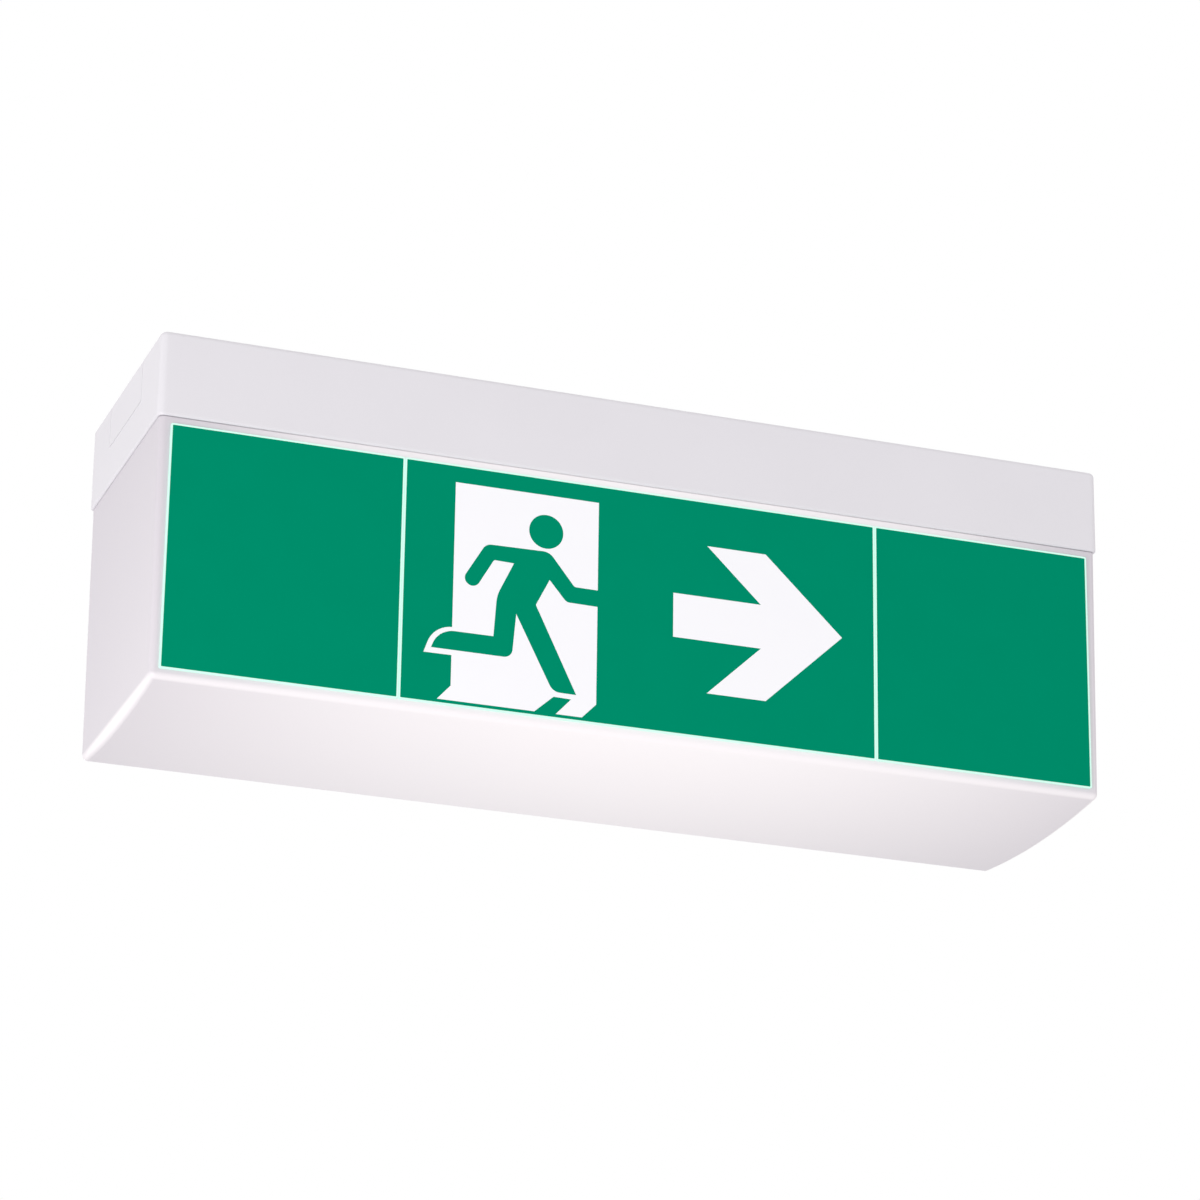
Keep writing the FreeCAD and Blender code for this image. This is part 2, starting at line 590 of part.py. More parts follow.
def pole(index):
    """Where a pole of the terminal block stands along X."""
    return f"(({index} + 0.5) * pole_pitch - pole_count * pole_pitch / 2)"


def terminal_block():
    """Screw terminal block: stepped moulding with wire holes on both sides and a shaft over each screw."""
    body = new_body("terminal_block")
    section = draw(body, "section", "YZ_Plane")
    outline(
        section,
        ("-terminal_depth / 2", "0"),
        ("-terminal_depth / 2", "-terminal_height * terminal_shoulder"),
        ("-terminal_depth / 4", "-terminal_height"),
        ("terminal_depth / 4", "-terminal_height"),
        ("terminal_depth / 2", "-terminal_height * terminal_shoulder"),
        ("terminal_depth / 2", "0"),
    )
    pad(body, section, "pole_count * pole_pitch", both_ways=True)
    wires = draw(body, "wire_holes", "XZ_Plane")
    shafts = draw(body, "screw_shafts", "XY_Plane", "-terminal_height")
    gaps = draw(body, "pole_gaps", "XY_Plane", "-terminal_height")
    for index in range(int(measure("pole_count"))):
        circle(wires, pole(index), "-terminal_height * terminal_wire_level", "terminal_wire_radius")
        circle(shafts, pole(index), "0", "(terminal_screw_radius + slip)")
        if index:
            rectangle(gaps, f"{pole(index)} - pole_pitch / 2", "0", "pole_gap", "terminal_depth")
    pocket(body, wires, "2 * terminal_depth", both_ways=True)
    pocket(body, shafts, "terminal_height * (1 - terminal_wire_level)", backwards=True)
    pocket(body, gaps, "pole_gap_depth", backwards=True)
    body.setExpression(".Placement.Base.y", on_sheet("terminal_y"))
    body.setExpression(".Placement.Base.z", on_sheet("-ceiling_wall"))


def terminal_screws():
    """Slotted clamp screws, one in each shaft of the terminal block, down on the lead in its wire hole."""
    body = new_body("terminal_screws")
    heads = draw(body, "heads", "XY_Plane", "-terminal_height + terminal_screw_sink")
    slots = draw(body, "slots", "XY_Plane", "-terminal_height + terminal_screw_sink")
    for index in range(int(measure("pole_count"))):
        circle(heads, pole(index), "0", "terminal_screw_radius")
        rectangle(slots, pole(index), "0", "terminal_slot_width", "(3 * terminal_screw_radius)")
    pad(body, heads, "terminal_height * (1 - terminal_wire_level) - terminal_screw_sink - lead_radius")
    pocket(body, slots, "terminal_slot_depth", backwards=True)
    body.setExpression(".Placement.Base.y", on_sheet("terminal_y"))
    body.setExpression(".Placement.Base.z", on_sheet("-ceiling_wall"))


def gear_tray():
    """Folded sheet-steel tray, white underneath: turned-up flanges, wiring window and the holes it needs."""
    body = new_body("gear_tray")
    section = draw(body, "section", "YZ_Plane")
    outer_bend = "(tray_bend + tray_sheet)"
    outline(
        section,
        (f"-{TRAY_Y}", f"-{TRAY_DROP} + tray_flange"),
        (f"-{TRAY_Y}", f"-{TRAY_DROP} + tray_bend", outer_bend, 1),
        (f"-{TRAY_Y} + {outer_bend}", f"-{TRAY_UNDER}"),
        (f"{TRAY_Y} - {outer_bend}", f"-{TRAY_UNDER}", outer_bend, 1),
        (TRAY_Y, f"-{TRAY_DROP} + tray_bend"),
        (TRAY_Y, f"-{TRAY_DROP} + tray_flange"),
        (f"{TRAY_Y} - tray_sheet", f"-{TRAY_DROP} + tray_flange"),
        (f"{TRAY_Y} - tray_sheet", f"-{TRAY_DROP} + tray_bend", "tray_bend", -1),
        (f"{TRAY_Y} - {outer_bend}", f"-{TRAY_DROP}"),
        (f"-{TRAY_Y} + {outer_bend}", f"-{TRAY_DROP}", "tray_bend", -1),
        (f"-{TRAY_Y} + tray_sheet", f"-{TRAY_DROP} + tray_bend"),
        (f"-{TRAY_Y} + tray_sheet", f"-{TRAY_DROP} + tray_flange"),
    )
    pad(body, section, f"2 * {TRAY_X}", both_ways=True)

    holes = draw(body, "holes", "XY_Plane", f"-{TRAY_DROP}")
    rounded_rectangle(holes, "0", "0", "window_length", "window_depth", "window_corner")
    for x, y in quarter_places(POST_X, POST_Y):
        circle(holes, x, y, "tray_hole_radius")
    for x, y in rivet_places():
        circle(holes, x, y, "(rivet_shank_radius + slip)")
    for x, y in standoff_places():
        circle(holes, x, y, "(standoff_pin_radius + slip)")
    for x, y in ((f"-{LED_PLUG_X}", "lead_hole_y"), (LED_PLUG_X, "-lead_hole_y")):
        rounded_rectangle(holes, x, y, "lead_hole_width", "lead_hole_length", "lead_hole_width * 0.45")
    pocket(body, holes, "2 * tray_sheet")

    notches = draw(body, "flange_notches", "XZ_Plane")
    for side in ("-1", "0", "1"):
        middle = f"{side} * stop_rib_pitch"
        slot(notches, middle, f"-{TRAY_DROP} + tray_flange", "notch_length", "(2 * notch_depth)")
    pocket(body, notches, "base_depth", both_ways=True)


def quarter_places(x, y):
    """The four places at plus and minus x and y."""
    return [(f"{across}{x}", f"{along}{y}") for across in ("-", "") for along in ("-", "")]


def rivet_places():
    """Two rivets near the ends of each LED board, on opposite sides of its middle line."""
    return [
        (f"{side}({LED_INNER} + rivet_inset)", f"{side}rivet_offset") for side in ("-", "")
    ] + [
        (f"{side}({LED_OUTER} - rivet_inset)", f"-({side}rivet_offset)") for side in ("-", "")
    ]


def standoff_places():
    """The four corners of the driver board."""
    reach_x = "(driver_length / 2 - driver_hole_inset)"
    reach_y = "(driver_width / 2 - driver_hole_inset)"
    return [(f"{DRIVER_X} {x} {reach_x}", f"{y}{reach_y}") for x in "-+" for y in ("-", "")]


def tray_screws():
    """Pan-head screws that hold the tray to the posts."""
    body = new_body("tray_screws")
    shanks = draw(body, "shanks", "XY_Plane", f"-{TRAY_UNDER}")
    heads = draw(body, "heads", "XY_Plane", f"-{TRAY_UNDER}")
    recesses = draw(body, "cross_recesses", "XY_Plane", f"-{TRAY_UNDER} - screw_head_height")
    for x, y in quarter_places(POST_X, POST_Y):
        circle(shanks, x, y, "screw_shank_radius")
        circle(heads, x, y, "screw_head_radius")
        cross(recesses, x, y)
    pad(body, heads, "screw_head_height", backwards=True)
    crown = -measure(f"{TRAY_UNDER} + screw_head_height")
    round_edges(body, "screw_head_height * 0.45", lambda edge: lies_at(edge, crown))
    pad(body, shanks, "screw_length")
    pocket(body, recesses, "cross_depth", backwards=True)


def cross(drawing, x, y):
    """The outline of a cross recess."""
    arm = "cross_length / 2"
    half = "cross_width / 2"
    turns = (
        (arm, half), (half, half), (half, arm), (f"-{half}", arm), (f"-{half}", half), (f"-{arm}", half),
        (f"-{arm}", f"-{half}"), (f"-{half}", f"-{half}"), (f"-{half}", f"-{arm}"), (half, f"-{arm}"),
        (half, f"-{half}"), (arm, f"-{half}"),
    )
    outline(drawing, *((f"{x} + ({across})", f"{y} + ({along})") for across, along in turns))


def led_board(label, side):
    """One of the two aluminium-core boards under the tray."""
    body = new_body(label)
    plan = draw(body, "plan", "XY_Plane", f"-{LED_UNDER}")
    rounded_rectangle(plan, "0", "0", LED_LENGTH, "led_board_width", "board_corner")
    reach = f"({LED_LENGTH} / 2 - rivet_inset)"
    for end in ("-", ""):
        circle(plan, f"{end}{reach}", f"-({end}rivet_offset)", "(rivet_shank_radius + slip)")
    pad(body, plan, "led_board_thickness")
    body.setExpression(".Placement.Base.x", on_sheet(f"{side}{LED_MIDDLE}"))


def led_chips():
    """Square LED packages in a row along both boards."""
    body = new_body("led_chips")
    chips = draw(body, "chips", "XY_Plane", f"-{LED_UNDER}")
    for side in ("-", ""):
        for index in range(int(measure("led_count"))):
            x = f"{side}({LED_INNER} + ({index} + 0.5) * {LED_LENGTH} / led_count)"
            rectangle(chips, x, "0", "led_size", "led_size")
    pad(body, chips, "led_height", backwards=True)


def led_plugs():
    """Small plug housings at the inner end of each LED board, open towards the tray's lead holes."""
    body = new_body("led_plugs")
    housings = draw(body, "housings", "XY_Plane", f"-{LED_UNDER}")
    front_socket = draw(body, "front_socket", "XZ_Plane", "led_plug_size / 2")
    rear_socket = draw(body, "rear_socket", "XZ_Plane", "-led_plug_size / 2")
    for x, socket in ((f"-{LED_PLUG_X}", rear_socket), (LED_PLUG_X, front_socket)):
        rectangle(housings, x, "0", "led_plug_size", "led_plug_size")
        width = "(led_plug_size - 2 * led_plug_wall)"
        rectangle(socket, x, LED_PLUG_LEVEL, width, "(led_plug_height - 2 * led_plug_wall)")
    pad(body, housings, "led_plug_height", backwards=True)
    pocket(body, front_socket, "led_plug_depth")
    pocket(body, rear_socket, "led_plug_depth", backwards=True)


def board_rivets():
    """Push-in rivets that hold the LED boards to the tray."""
    body = new_body("board_rivets")
    heads = draw(body, "heads", "XY_Plane", f"-{LED_UNDER}")
    shanks = draw(body, "shanks", "XY_Plane", f"-{LED_UNDER}")
    barbs = draw(body, "barbs", "XY_Plane", f"-{TRAY_DROP}")
    for x, y in rivet_places():
        circle(heads, x, y, "rivet_head_radius")
        circle(shanks, x, y, "rivet_shank_radius")
        circle(barbs, x, y, "rivet_barb_radius")
    pad(body, heads, "rivet_head_height", backwards=True)
    crown = -measure(f"{LED_UNDER} + rivet_head_height")
    round_edges(body, "rivet_head_height * 0.6", lambda edge: lies_at(edge, crown))
    pad(body, shanks, "led_board_thickness + tray_sheet + rivet_barb_height / 2")
    pad(body, barbs, "rivet_barb_height")


def driver_board():
    """The board that charges the battery and feeds the LEDs."""
    body = new_body("driver_board")
    plan = draw(body, "plan", "XY_Plane", f"-{DRIVER_TOP} - driver_thickness")
    rounded_rectangle(plan, DRIVER_X, "0", "driver_length", "driver_width", "board_corner")
    for x, y in standoff_places():
        circle(plan, x, y, "(standoff_pin_radius + slip)")
    pad(body, plan, "driver_thickness")


def board_standoffs():
    """Nylon stand-offs: barbs below the tray and above the board."""
    body = new_body("board_standoffs")
    pillars = draw(body, "pillars", "XY_Plane", f"-{TRAY_DROP}")
    pins = draw(body, "pins", "XY_Plane", f"-{TRAY_UNDER} - standoff_barb_height / 2")
    lower = draw(body, "lower_barbs", "XY_Plane", f"-{TRAY_UNDER}")
    upper = draw(body, "upper_barbs", "XY_Plane", f"-{DRIVER_TOP}")
    for x, y in standoff_places():
        circle(pillars, x, y, "standoff_radius")
        circle(pins, x, y, "standoff_pin_radius")
        circle(lower, x, y, "standoff_barb_radius")
        circle(upper, x, y, "standoff_barb_radius")
    pad(body, pillars, "standoff_height")
    pad(body, pins, "standoff_barb_height + tray_sheet + standoff_height + driver_thickness")
    pad(body, lower, "standoff_barb_height", backwards=True)
    pad(body, upper, "standoff_barb_height")


def on_driver(body, x, y):
    """Stands a component, modelled about its own middle, on the driver board."""
    body.setExpression(".Placement.Base.x", on_sheet(f"{DRIVER_X} + ({x})"))
    body.setExpression(".Placement.Base.y", on_sheet(y))
    body.setExpression(".Placement.Base.z", on_sheet(f"-{DRIVER_TOP}"))


def transformer():
    """Ferrite core with its two windows, and the bobbin with the winding round the middle leg."""
    core = new_body("transformer_core")
    face = draw(core, "face", "XZ_Plane")
    rectangle(face, "0", "core_height / 2", "core_length", "core_height")
    window = "((core_length - core_leg) / 2 - core_yoke)"
    for side in ("-", ""):
        middle = f"{side}(core_leg / 2 + {window} / 2)"
        rectangle(face, middle, "core_height / 2", window, "(core_height - 2 * core_yoke)")
    pad(core, face, "core_width", both_ways=True)
    on_driver(core, "transformer_x", "transformer_y")

    winding = new_body("transformer_winding")
    middle = "core_height / 2"
    inside = "(core_height - 2 * core_yoke - 2 * slip)"
    plan = draw(winding, "plan", "XY_Plane", "core_yoke + slip")
    reach = "(core_leg / 2 + slip + winding_build)"
    depth = "(core_width / 2 + slip + winding_build)"
    rounded_rectangle(plan, "0", "0", f"2 * {reach}", f"2 * {depth}", "winding_corner")
    rectangle(plan, "0", "0", "(core_leg + 2 * slip)", "(core_width + 2 * slip)")
    pad(winding, plan, inside)
    flanges = draw(winding, "flanges", "XZ_Plane", "core_width / 2 + slip")
    far_flanges = draw(winding, "far_flanges", "XZ_Plane", "-core_width / 2 - slip")
    rectangle(flanges, "0", middle, "(core_length - 2 * bobbin_inset)", inside)
    rectangle(far_flanges, "0", middle, "(core_length - 2 * bobbin_inset)", inside)
    pad(winding, flanges, "bobbin_flange")
    pad(winding, far_flanges, "bobbin_flange", backwards=True)
    on_driver(winding, "transformer_x", "transformer_y")


def capacitors():
    """Electrolytic capacitors: cans with a crimp near the foot."""
    body = new_body("capacitors")
    left, right = "-driver_length * 0.34", "driver_length * 0.12"
    places = ((left, "-12"), (left, "2"), (right, "-17"))
    feet = draw(body, "feet", "XY_Plane")
    crimps = draw(body, "crimps", "XY_Plane", "crimp_lift")
    cans = draw(body, "cans", "XY_Plane", "crimp_lift + crimp_height")
    for x, y in places:
        circle(feet, x, y, "capacitor_radius")
        circle(crimps, x, y, "(capacitor_radius - capacitor_crimp)")
        circle(cans, x, y, "capacitor_radius")
    pad(body, feet, "crimp_lift")
    pad(body, crimps, "crimp_height")
    pad(body, cans, "capacitor_height - crimp_lift - crimp_height")
    top = measure("capacitor_height")
    round_edges(body, "capacitor_crimp", lambda edge: lies_at(edge, top))
    on_driver(body, "0", "0")


def boxed_component(label, length, width, height, x, y):
    """A component in a plain moulded case, such as a relay or a film capacitor."""
    body = new_body(label)
    plan = draw(body, "plan", "XY_Plane")
    rectangle(plan, "0", "0", length, width)
    pad(body, plan, height)
    top = measure(height)
    round_edges(body, "case_edge", lambda edge: is_upright(edge) or lies_at(edge, top))
    on_driver(body, x, y)


def choke():
    """Drum-core choke: two ferrite flanges with the winding between them under a sleeve."""
    body = new_body("choke")
    section = draw(body, "section", "XZ_Plane")
    outline(
        section,
        ("0", "0"),
        ("choke_radius", "0"),
        ("choke_radius", "choke_flange"),
        ("choke_radius - choke_waist", "choke_flange"),
        ("choke_radius - choke_waist", "choke_height - choke_flange"),
        ("choke_radius", "choke_height - choke_flange"),
        ("choke_radius", "choke_height"),
        ("0", "choke_height"),
    )
    revolve(body, section)
    on_driver(body, "driver_length * 0.33", "-14")


def varistor():
    """Surge arrester beside the supply header: a dipped disc that stands on edge on its two pins."""
    body = new_body("varistor")
    face = draw(body, "face", "YZ_Plane")
    circle(face, "0", "varistor_lift + varistor_radius", "varistor_radius")
    pad(body, face, "varistor_thickness", both_ways=True)
    round_edges(body, "varistor_edge", lambda edge: edge.BoundBox.XLength < 1e-3)
    pins = draw(body, "pins", "YZ_Plane")
    for side in ("-", ""):
        place = f"{side}varistor_radius / 2"
        rectangle(pins, place, "varistor_radius / 4", "varistor_pin", "varistor_radius / 2")
    pad(body, pins, "varistor_pin", both_ways=True)
    on_driver(body, "-driver_length * 0.34", "17")


def header_width(poles):
    """A plug header along Y."""
    return f"({poles} * header_pitch + 2 * header_end)"


def driver_headers():
    """Plug headers along the ends of the driver board, each open towards its plug."""
    body = new_body("driver_headers")
    shells = draw(body, "shells", "XY_Plane")
    mouths = draw(body, "mouths", "XY_Plane", "header_height")
    for side, y, poles, use in HEADERS:
        x = f"{side}{HEADER_REACH}"
        width = header_width(poles)
        rectangle(shells, x, str(y), "header_depth", width)
        rectangle(mouths, x, str(y), "(header_depth - 2 * header_wall)", f"({width} - 2 * header_end)")
    pad(body, shells, "header_height")
    pocket(body, mouths, "header_socket")
    on_driver(body, "0", "0")


def lead_plugs():
    """The plugs in the driver board's headers: a tongue in each socket under a head that takes the leads."""
    body = new_body("lead_plugs")
    heads = draw(body, "heads", "XY_Plane", "header_height")
    tongues = draw(body, "tongues", "XY_Plane", "header_height - header_socket")
    thickness = "(header_depth - 2 * header_wall - 2 * slip)"
    for side, y, poles, use in HEADERS:
        x = f"{side}{HEADER_REACH}"
        width = header_width(poles)
        rectangle(heads, x, str(y), "header_depth", width)
        rectangle(tongues, x, str(y), thickness, f"({width} - 2 * header_end - 2 * slip)")
    pad(body, heads, "plug_head")
    crown = measure("header_height + plug_head")
    round_edges(body, "plug_edge", lambda edge: lies_at(edge, crown))
    pad(body, tongues, "header_socket")
    on_driver(body, "0", "0")


def lead(label, *route):
    """A round lead: straight runs joined by tangent arcs, each as large as its two runs allow."""
    corners = [FreeCAD.Vector(*(measure(str(place)) for place in point)) for point in route]
    start = corners[0]
    edges = []
    radii = []
    for before, corner, after in zip(corners, corners[1:], corners[2:]):
        back = before.sub(corner)
        ahead = after.sub(corner)
        reach = 0.45 * min(back.Length, ahead.Length)
        half_turn = (math.pi - back.getAngle(ahead)) / 2
        radius = reach / math.tan(half_turn)
        back.normalize()
        ahead.normalize()
        inward = back.add(ahead).normalize()
        crown = corner.add(inward * (radius / math.cos(half_turn) - radius))
        first = corner.add(back * reach)
        last = corner.add(ahead * reach)
        edges.append(Part.LineSegment(start, first).toShape())
        edges.append(Part.Arc(first, crown, last).toShape())
        radii.append(radius)
        start = last
    edges.append(Part.LineSegment(start, corners[-1]).toShape())
    path = Part.Wire(edges)
    ring = Part.Wire(Part.makeCircle(measure("lead_radius"), corners[0], corners[1].sub(corners[0])))
    tube = document.addObject("Part::Feature", label)
    tube.Label = label
    tube.Shape = path.makePipeShell([ring], True, False)
    subparts.append(tube)
    true_volume = math.pi * measure("lead_radius") ** 2 * path.Length
    print(
        f"{label}: bends {', '.join(f'{radius:.1f}' for radius in radii)} mm, {path.Length:.1f} mm long,",
        f"volume {tube.Shape.Volume / true_volume:.4f} of section x length",
    )


def beside(route, gap):
    """The same route moved to its left in plan, for a lead that runs beside another."""
    plan = [FreeCAD.Vector(measure(str(x)), measure(str(y)), 0) for x, y, z in route]
    moved = []
    for index, place in enumerate(plan):
        back = place.sub(plan[index - 1]).normalize() if index else None
        ahead = plan[index + 1].sub(place).normalize() if index + 1 < len(plan) else None
        along = (back or ahead).add(ahead or back).normalize()
        stretch = 1 / along.dot(ahead or back)
        moved.append((place.x - along.y * gap * stretch, place.y + along.x * gap * stretch, route[index][2]))
    return moved


def led_leads():
    """Two-core leads from the LED boards, up through the tray's lead holes to the driver board."""
    socket_floor = "(led_plug_depth - led_plug_size / 2)"
    lead(
        "led_lead_right",
        (LED_PLUG_X, socket_floor, LED_PLUG_LEVEL),
        (LED_PLUG_X, "-lead_hole_y + 9", LED_PLUG_LEVEL),
        (f"{LED_PLUG_X} + 2", "-lead_hole_y - 5", f"{ON_TRAY} + 3"),
        (f"{PLUG_FACE} - 9", LED_RIGHT_Y, PLUG_LEVEL),
        (PLUG_FACE, LED_RIGHT_Y, PLUG_LEVEL),
    )
    lead(
        "led_lead_left",
        (f"-{LED_PLUG_X}", f"-{socket_floor}", LED_PLUG_LEVEL),
        (f"-{LED_PLUG_X}", "lead_hole_y - 9", LED_PLUG_LEVEL),
        (f"-{LED_PLUG_X} - 2.3", "lead_hole_y + 5.5", f"{ON_TRAY} + 2"),
        (f"-{LED_PLUG_X} - 0.8", f"{TRAY_Y} - 2.5", ON_TRAY),
        ("0", f"{TRAY_Y} - 4", ON_TRAY),
        (f"{LED_PLUG_X} + 0.8", f"{TRAY_Y} - 2.5", ON_TRAY),
        (f"{LED_PLUG_X} + 3.3", "lead_hole_y + 8.5", f"{ON_TRAY} + 8"),
        (f"{PLUG_FACE} - 11", LED_LEFT_Y, PLUG_LEVEL),
        (PLUG_FACE, LED_LEFT_Y, PLUG_LEVEL),
    )


def battery_leads():
    """The battery's two leads, side by side along the rear of the wiring window."""
    half = "header_pitch / 2"
    beside_window = "(window_length / 2 + 3)"
    behind_window = "(window_depth / 2 + 4)"
    route = (
        (f"-{BATTERY_END}", f"-{half}", f"-{BATTERY_DROP}"),
        (f"-{BATTERY_END} + 14.5", f"-{half}", f"-{BATTERY_DROP}"),
        (f"-{beside_window} - 1", "20", f"{ON_TRAY} + 6"),
        (f"-{beside_window}", behind_window, ON_TRAY),
        ("0", f"{behind_window} - 1.5", ON_TRAY),
        (beside_window, behind_window, ON_TRAY),
        (f"{beside_window} + 1", "21", f"{ON_TRAY} + 7"),
        (f"{PLUG_FACE} - 16", f"{BATTERY_Y} - {half}", PLUG_LEVEL),
        (PLUG_FACE, f"{BATTERY_Y} - {half}", PLUG_LEVEL),
    )
    lead("battery_lead_black", *route)
    lead("battery_lead_red", *beside(route, measure("header_pitch")))


def supply_leads():
    """Live and neutral from the terminal block to the driver board, and earth to the tag on the tray."""
    front = "(terminal_y - 13)"
    lead(
        "supply_lead_brown",
        (pole(4), "terminal_y", WIRE_LEVEL),
        (pole(4), front, WIRE_LEVEL),
        (f"{pole(4)} + 8.5", f"{front} - 10", f"{WIRE_LEVEL} + 1"),
        (f"{pole(4)} + 16.5", f"{front} + 0.5", f"{WIRE_LEVEL} + 1"),
        (f"{pole(4)} + 20", f"{front} + 14", f"{WIRE_LEVEL} + 1"),
        (f"{PLUG_FACE} - 12", f"{SUPPLY_Y} + header_pitch", PLUG_LEVEL),
        (PLUG_FACE, f"{SUPPLY_Y} + header_pitch", PLUG_LEVEL),
    )
    lead(
        "supply_lead_blue",
        (pole(3), "terminal_y", WIRE_LEVEL),
        (pole(3), f"{front} - 0.5", WIRE_LEVEL),
        (f"{pole(3)} + 11", f"{front} - 13", f"{WIRE_LEVEL} + 1"),
        (f"{pole(3)} + 29", f"{front} - 9", f"{WIRE_LEVEL} + 2"),
        (f"{pole(3)} + 32.5", f"{front} + 5", f"{WIRE_LEVEL} + 2"),
        (f"{PLUG_FACE} - 11", f"{SUPPLY_Y} - header_pitch", PLUG_LEVEL),
        (PLUG_FACE, f"{SUPPLY_Y} - header_pitch", PLUG_LEVEL),
    )
    barrel = f"(-{TRAY_DROP} + earth_barrel / 2)"
    lead(
        "earth_lead",
        (pole(0), "terminal_y", WIRE_LEVEL),
        (pole(0), f"{front} + 0.5", WIRE_LEVEL),
        (f"{pole(0)} - 6", f"{front} - 10", f"{WIRE_LEVEL} - 6"),
        ("-earth_tab_x + 11", f"-{EARTH_TAB_Y}", f"{barrel} + 0.6"),
        ("-earth_tab_x", f"-{EARTH_TAB_Y}", barrel),
    )


def indicator_lead():
    """Four-core lead from the driver board to the indicator board."""
    far_face = f"({DRIVER_X} + {HEADER_REACH} + header_depth / 2)"
    board = f"({INNER_X} - indicator_gap - indicator_thickness)"
    lead(
        "indicator_lead",
        (far_face, INDICATOR_Y, PLUG_LEVEL),
        (f"{far_face} + 8", INDICATOR_Y, PLUG_LEVEL),
        (f"{board} - 8", "0", f"{PLUG_LEVEL} - 3"),
        (board, "0", f"{PLUG_LEVEL} - 3"),
    )


def earth_tab():
    """Tinned tag riveted to the tray: a flat ring with a square barrel that grips the earth lead."""
    body = new_body("earth_tab")
    plan = draw(body, "plan", "XY_Plane", f"-{TRAY_DROP}")
    middle = "(-earth_tab_x - earth_tab_length / 2)"
    corner = "earth_tab_width / 4"
    rounded_rectangle(plan, middle, f"-{EARTH_TAB_Y}", "earth_tab_length", "earth_tab_width", corner)
    pad(body, plan, "earth_tab_sheet")
    barrel = draw(body, "barrel", "XY_Plane", f"-{TRAY_DROP}")
    rectangle(barrel, "-earth_tab_x - earth_barrel", f"-{EARTH_TAB_Y}", "(2 * earth_barrel)", "earth_barrel")
    pad(body, barrel, "earth_barrel")


def battery_pack():
    """Three cells end to end in one shrink sleeve, drawn in at the joints and over both ends."""
    body = new_body("battery_pack")
    section = draw(body, "section", "XZ_Plane")
    count = int(measure("cell_count"))
    start = "-cell_count * cell_length / 2"
    corners = [("0", start)]
    corners.append(("cell_radius - sleeve_edge", start, "sleeve_edge", 1))
    corners.append(("cell_radius", f"{start} + sleeve_edge"))
    for index in range(1, count):
        joint = f"{start} + {index} * cell_length"
        corners.append(("cell_radius", f"{joint} - sleeve_waist_reach"))
        corners.append(("cell_radius - sleeve_waist", joint))
        corners.append(("cell_radius", f"{joint} + sleeve_waist_reach"))
    corners.append(("cell_radius", f"-({start}) - sleeve_edge", "sleeve_edge", 1))
    corners.append(("cell_radius - sleeve_edge", f"-({start})"))
    corners.append(("0", f"-({start})"))
    outline(section, *corners)
    revolve(body, section)
    body.Placement = FreeCAD.Placement(FreeCAD.Vector(), FreeCAD.Rotation(FreeCAD.Vector(0, 1, 0), 90))
    body.setExpression(".Placement.Base.x", on_sheet(f"-{BATTERY_X}"))
    body.setExpression(".Placement.Base.z", on_sheet(f"-{BATTERY_DROP}"))


def battery_clips():
    """Two open rings that snap round the battery, each on a foot screwed down on the tray."""
    body = new_body("battery_clips")
    profile = draw(body, "profile", "YZ_Plane", "(clip_pitch - clip_width) / 2")
    inner = "(cell_radius + slip)"
    outer = "(cell_radius + slip + clip_wall)"
    drop = BATTERY_DROP
    inner_lip = (f"{inner} * clip_lip", f"-{drop} + {inner} * sqrt(1 - clip_lip ^ 2)")
    outer_lip = (f"{outer} * clip_lip", f"-{drop} + {outer} * sqrt(1 - clip_lip ^ 2)")
    outline(
        profile,
        (f"-({inner_lip[0]})", inner_lip[1], inner, 1),
        (f"-{inner}", f"-{drop}", inner, 1),
        ("0", f"-{drop} - {inner}", inner, 1),
        (inner, f"-{drop}", inner, 1),
        inner_lip,
        (*outer_lip, outer, -1),
        (outer, f"-{drop}"),
        (outer, f"-{TRAY_DROP} + clip_wall"),
        (f"{outer} + clip_foot", f"-{TRAY_DROP} + clip_wall"),
        (f"{outer} + clip_foot", f"-{TRAY_DROP}"),
        (f"-{outer} - clip_foot", f"-{TRAY_DROP}"),
        (f"-{outer} - clip_foot", f"-{TRAY_DROP} + clip_wall"),
        (f"-{outer}", f"-{TRAY_DROP} + clip_wall"),
        (f"-{outer}", f"-{drop}", outer, -1),
        (f"-({outer_lip[0]})", outer_lip[1]),
    )
    mirror(body, pad(body, profile, "clip_width"))
    body.setExpression(".Placement.Base.x", on_sheet(f"-{BATTERY_X}"))


def test_button():
    """Push button in the right end wall: round head, flange behind the wall and a stem to the switch."""
    body = new_body("test_button")
    section = draw(body, "section", "XZ_Plane")
    wall = "side_wall"
    stem = "(indicator_gap - switch_height - button_travel - stop_clearance)"
    outline(
        section,
        ("0", f"-{stem}"),
        ("button_stem_radius", f"-{stem}"),
        ("button_stem_radius", "-button_flange"),
        ("button_flange_radius", "-button_flange"),
        ("button_flange_radius", "0"),
        ("button_radius", "0"),
        ("button_radius", f"{wall} + button_stand - button_edge", "button_edge", 1),
        ("button_radius - button_edge", f"{wall} + button_stand"),
        ("0", f"{wall} + button_stand"),
    )
    revolve(body, section)
    to_right_end(body, "button_y")


def to_right_end(body, y):
    """Turns a piece made about Z to look out of the right end wall, from the wall's inner face."""
    body.Placement = FreeCAD.Placement(FreeCAD.Vector(), FreeCAD.Rotation(FreeCAD.Vector(0, 1, 0), 90))
    body.setExpression(".Placement.Base.x", on_sheet(INNER_X))
    body.setExpression(".Placement.Base.y", on_sheet(y))
    body.setExpression(".Placement.Base.z", on_sheet("-button_drop"))


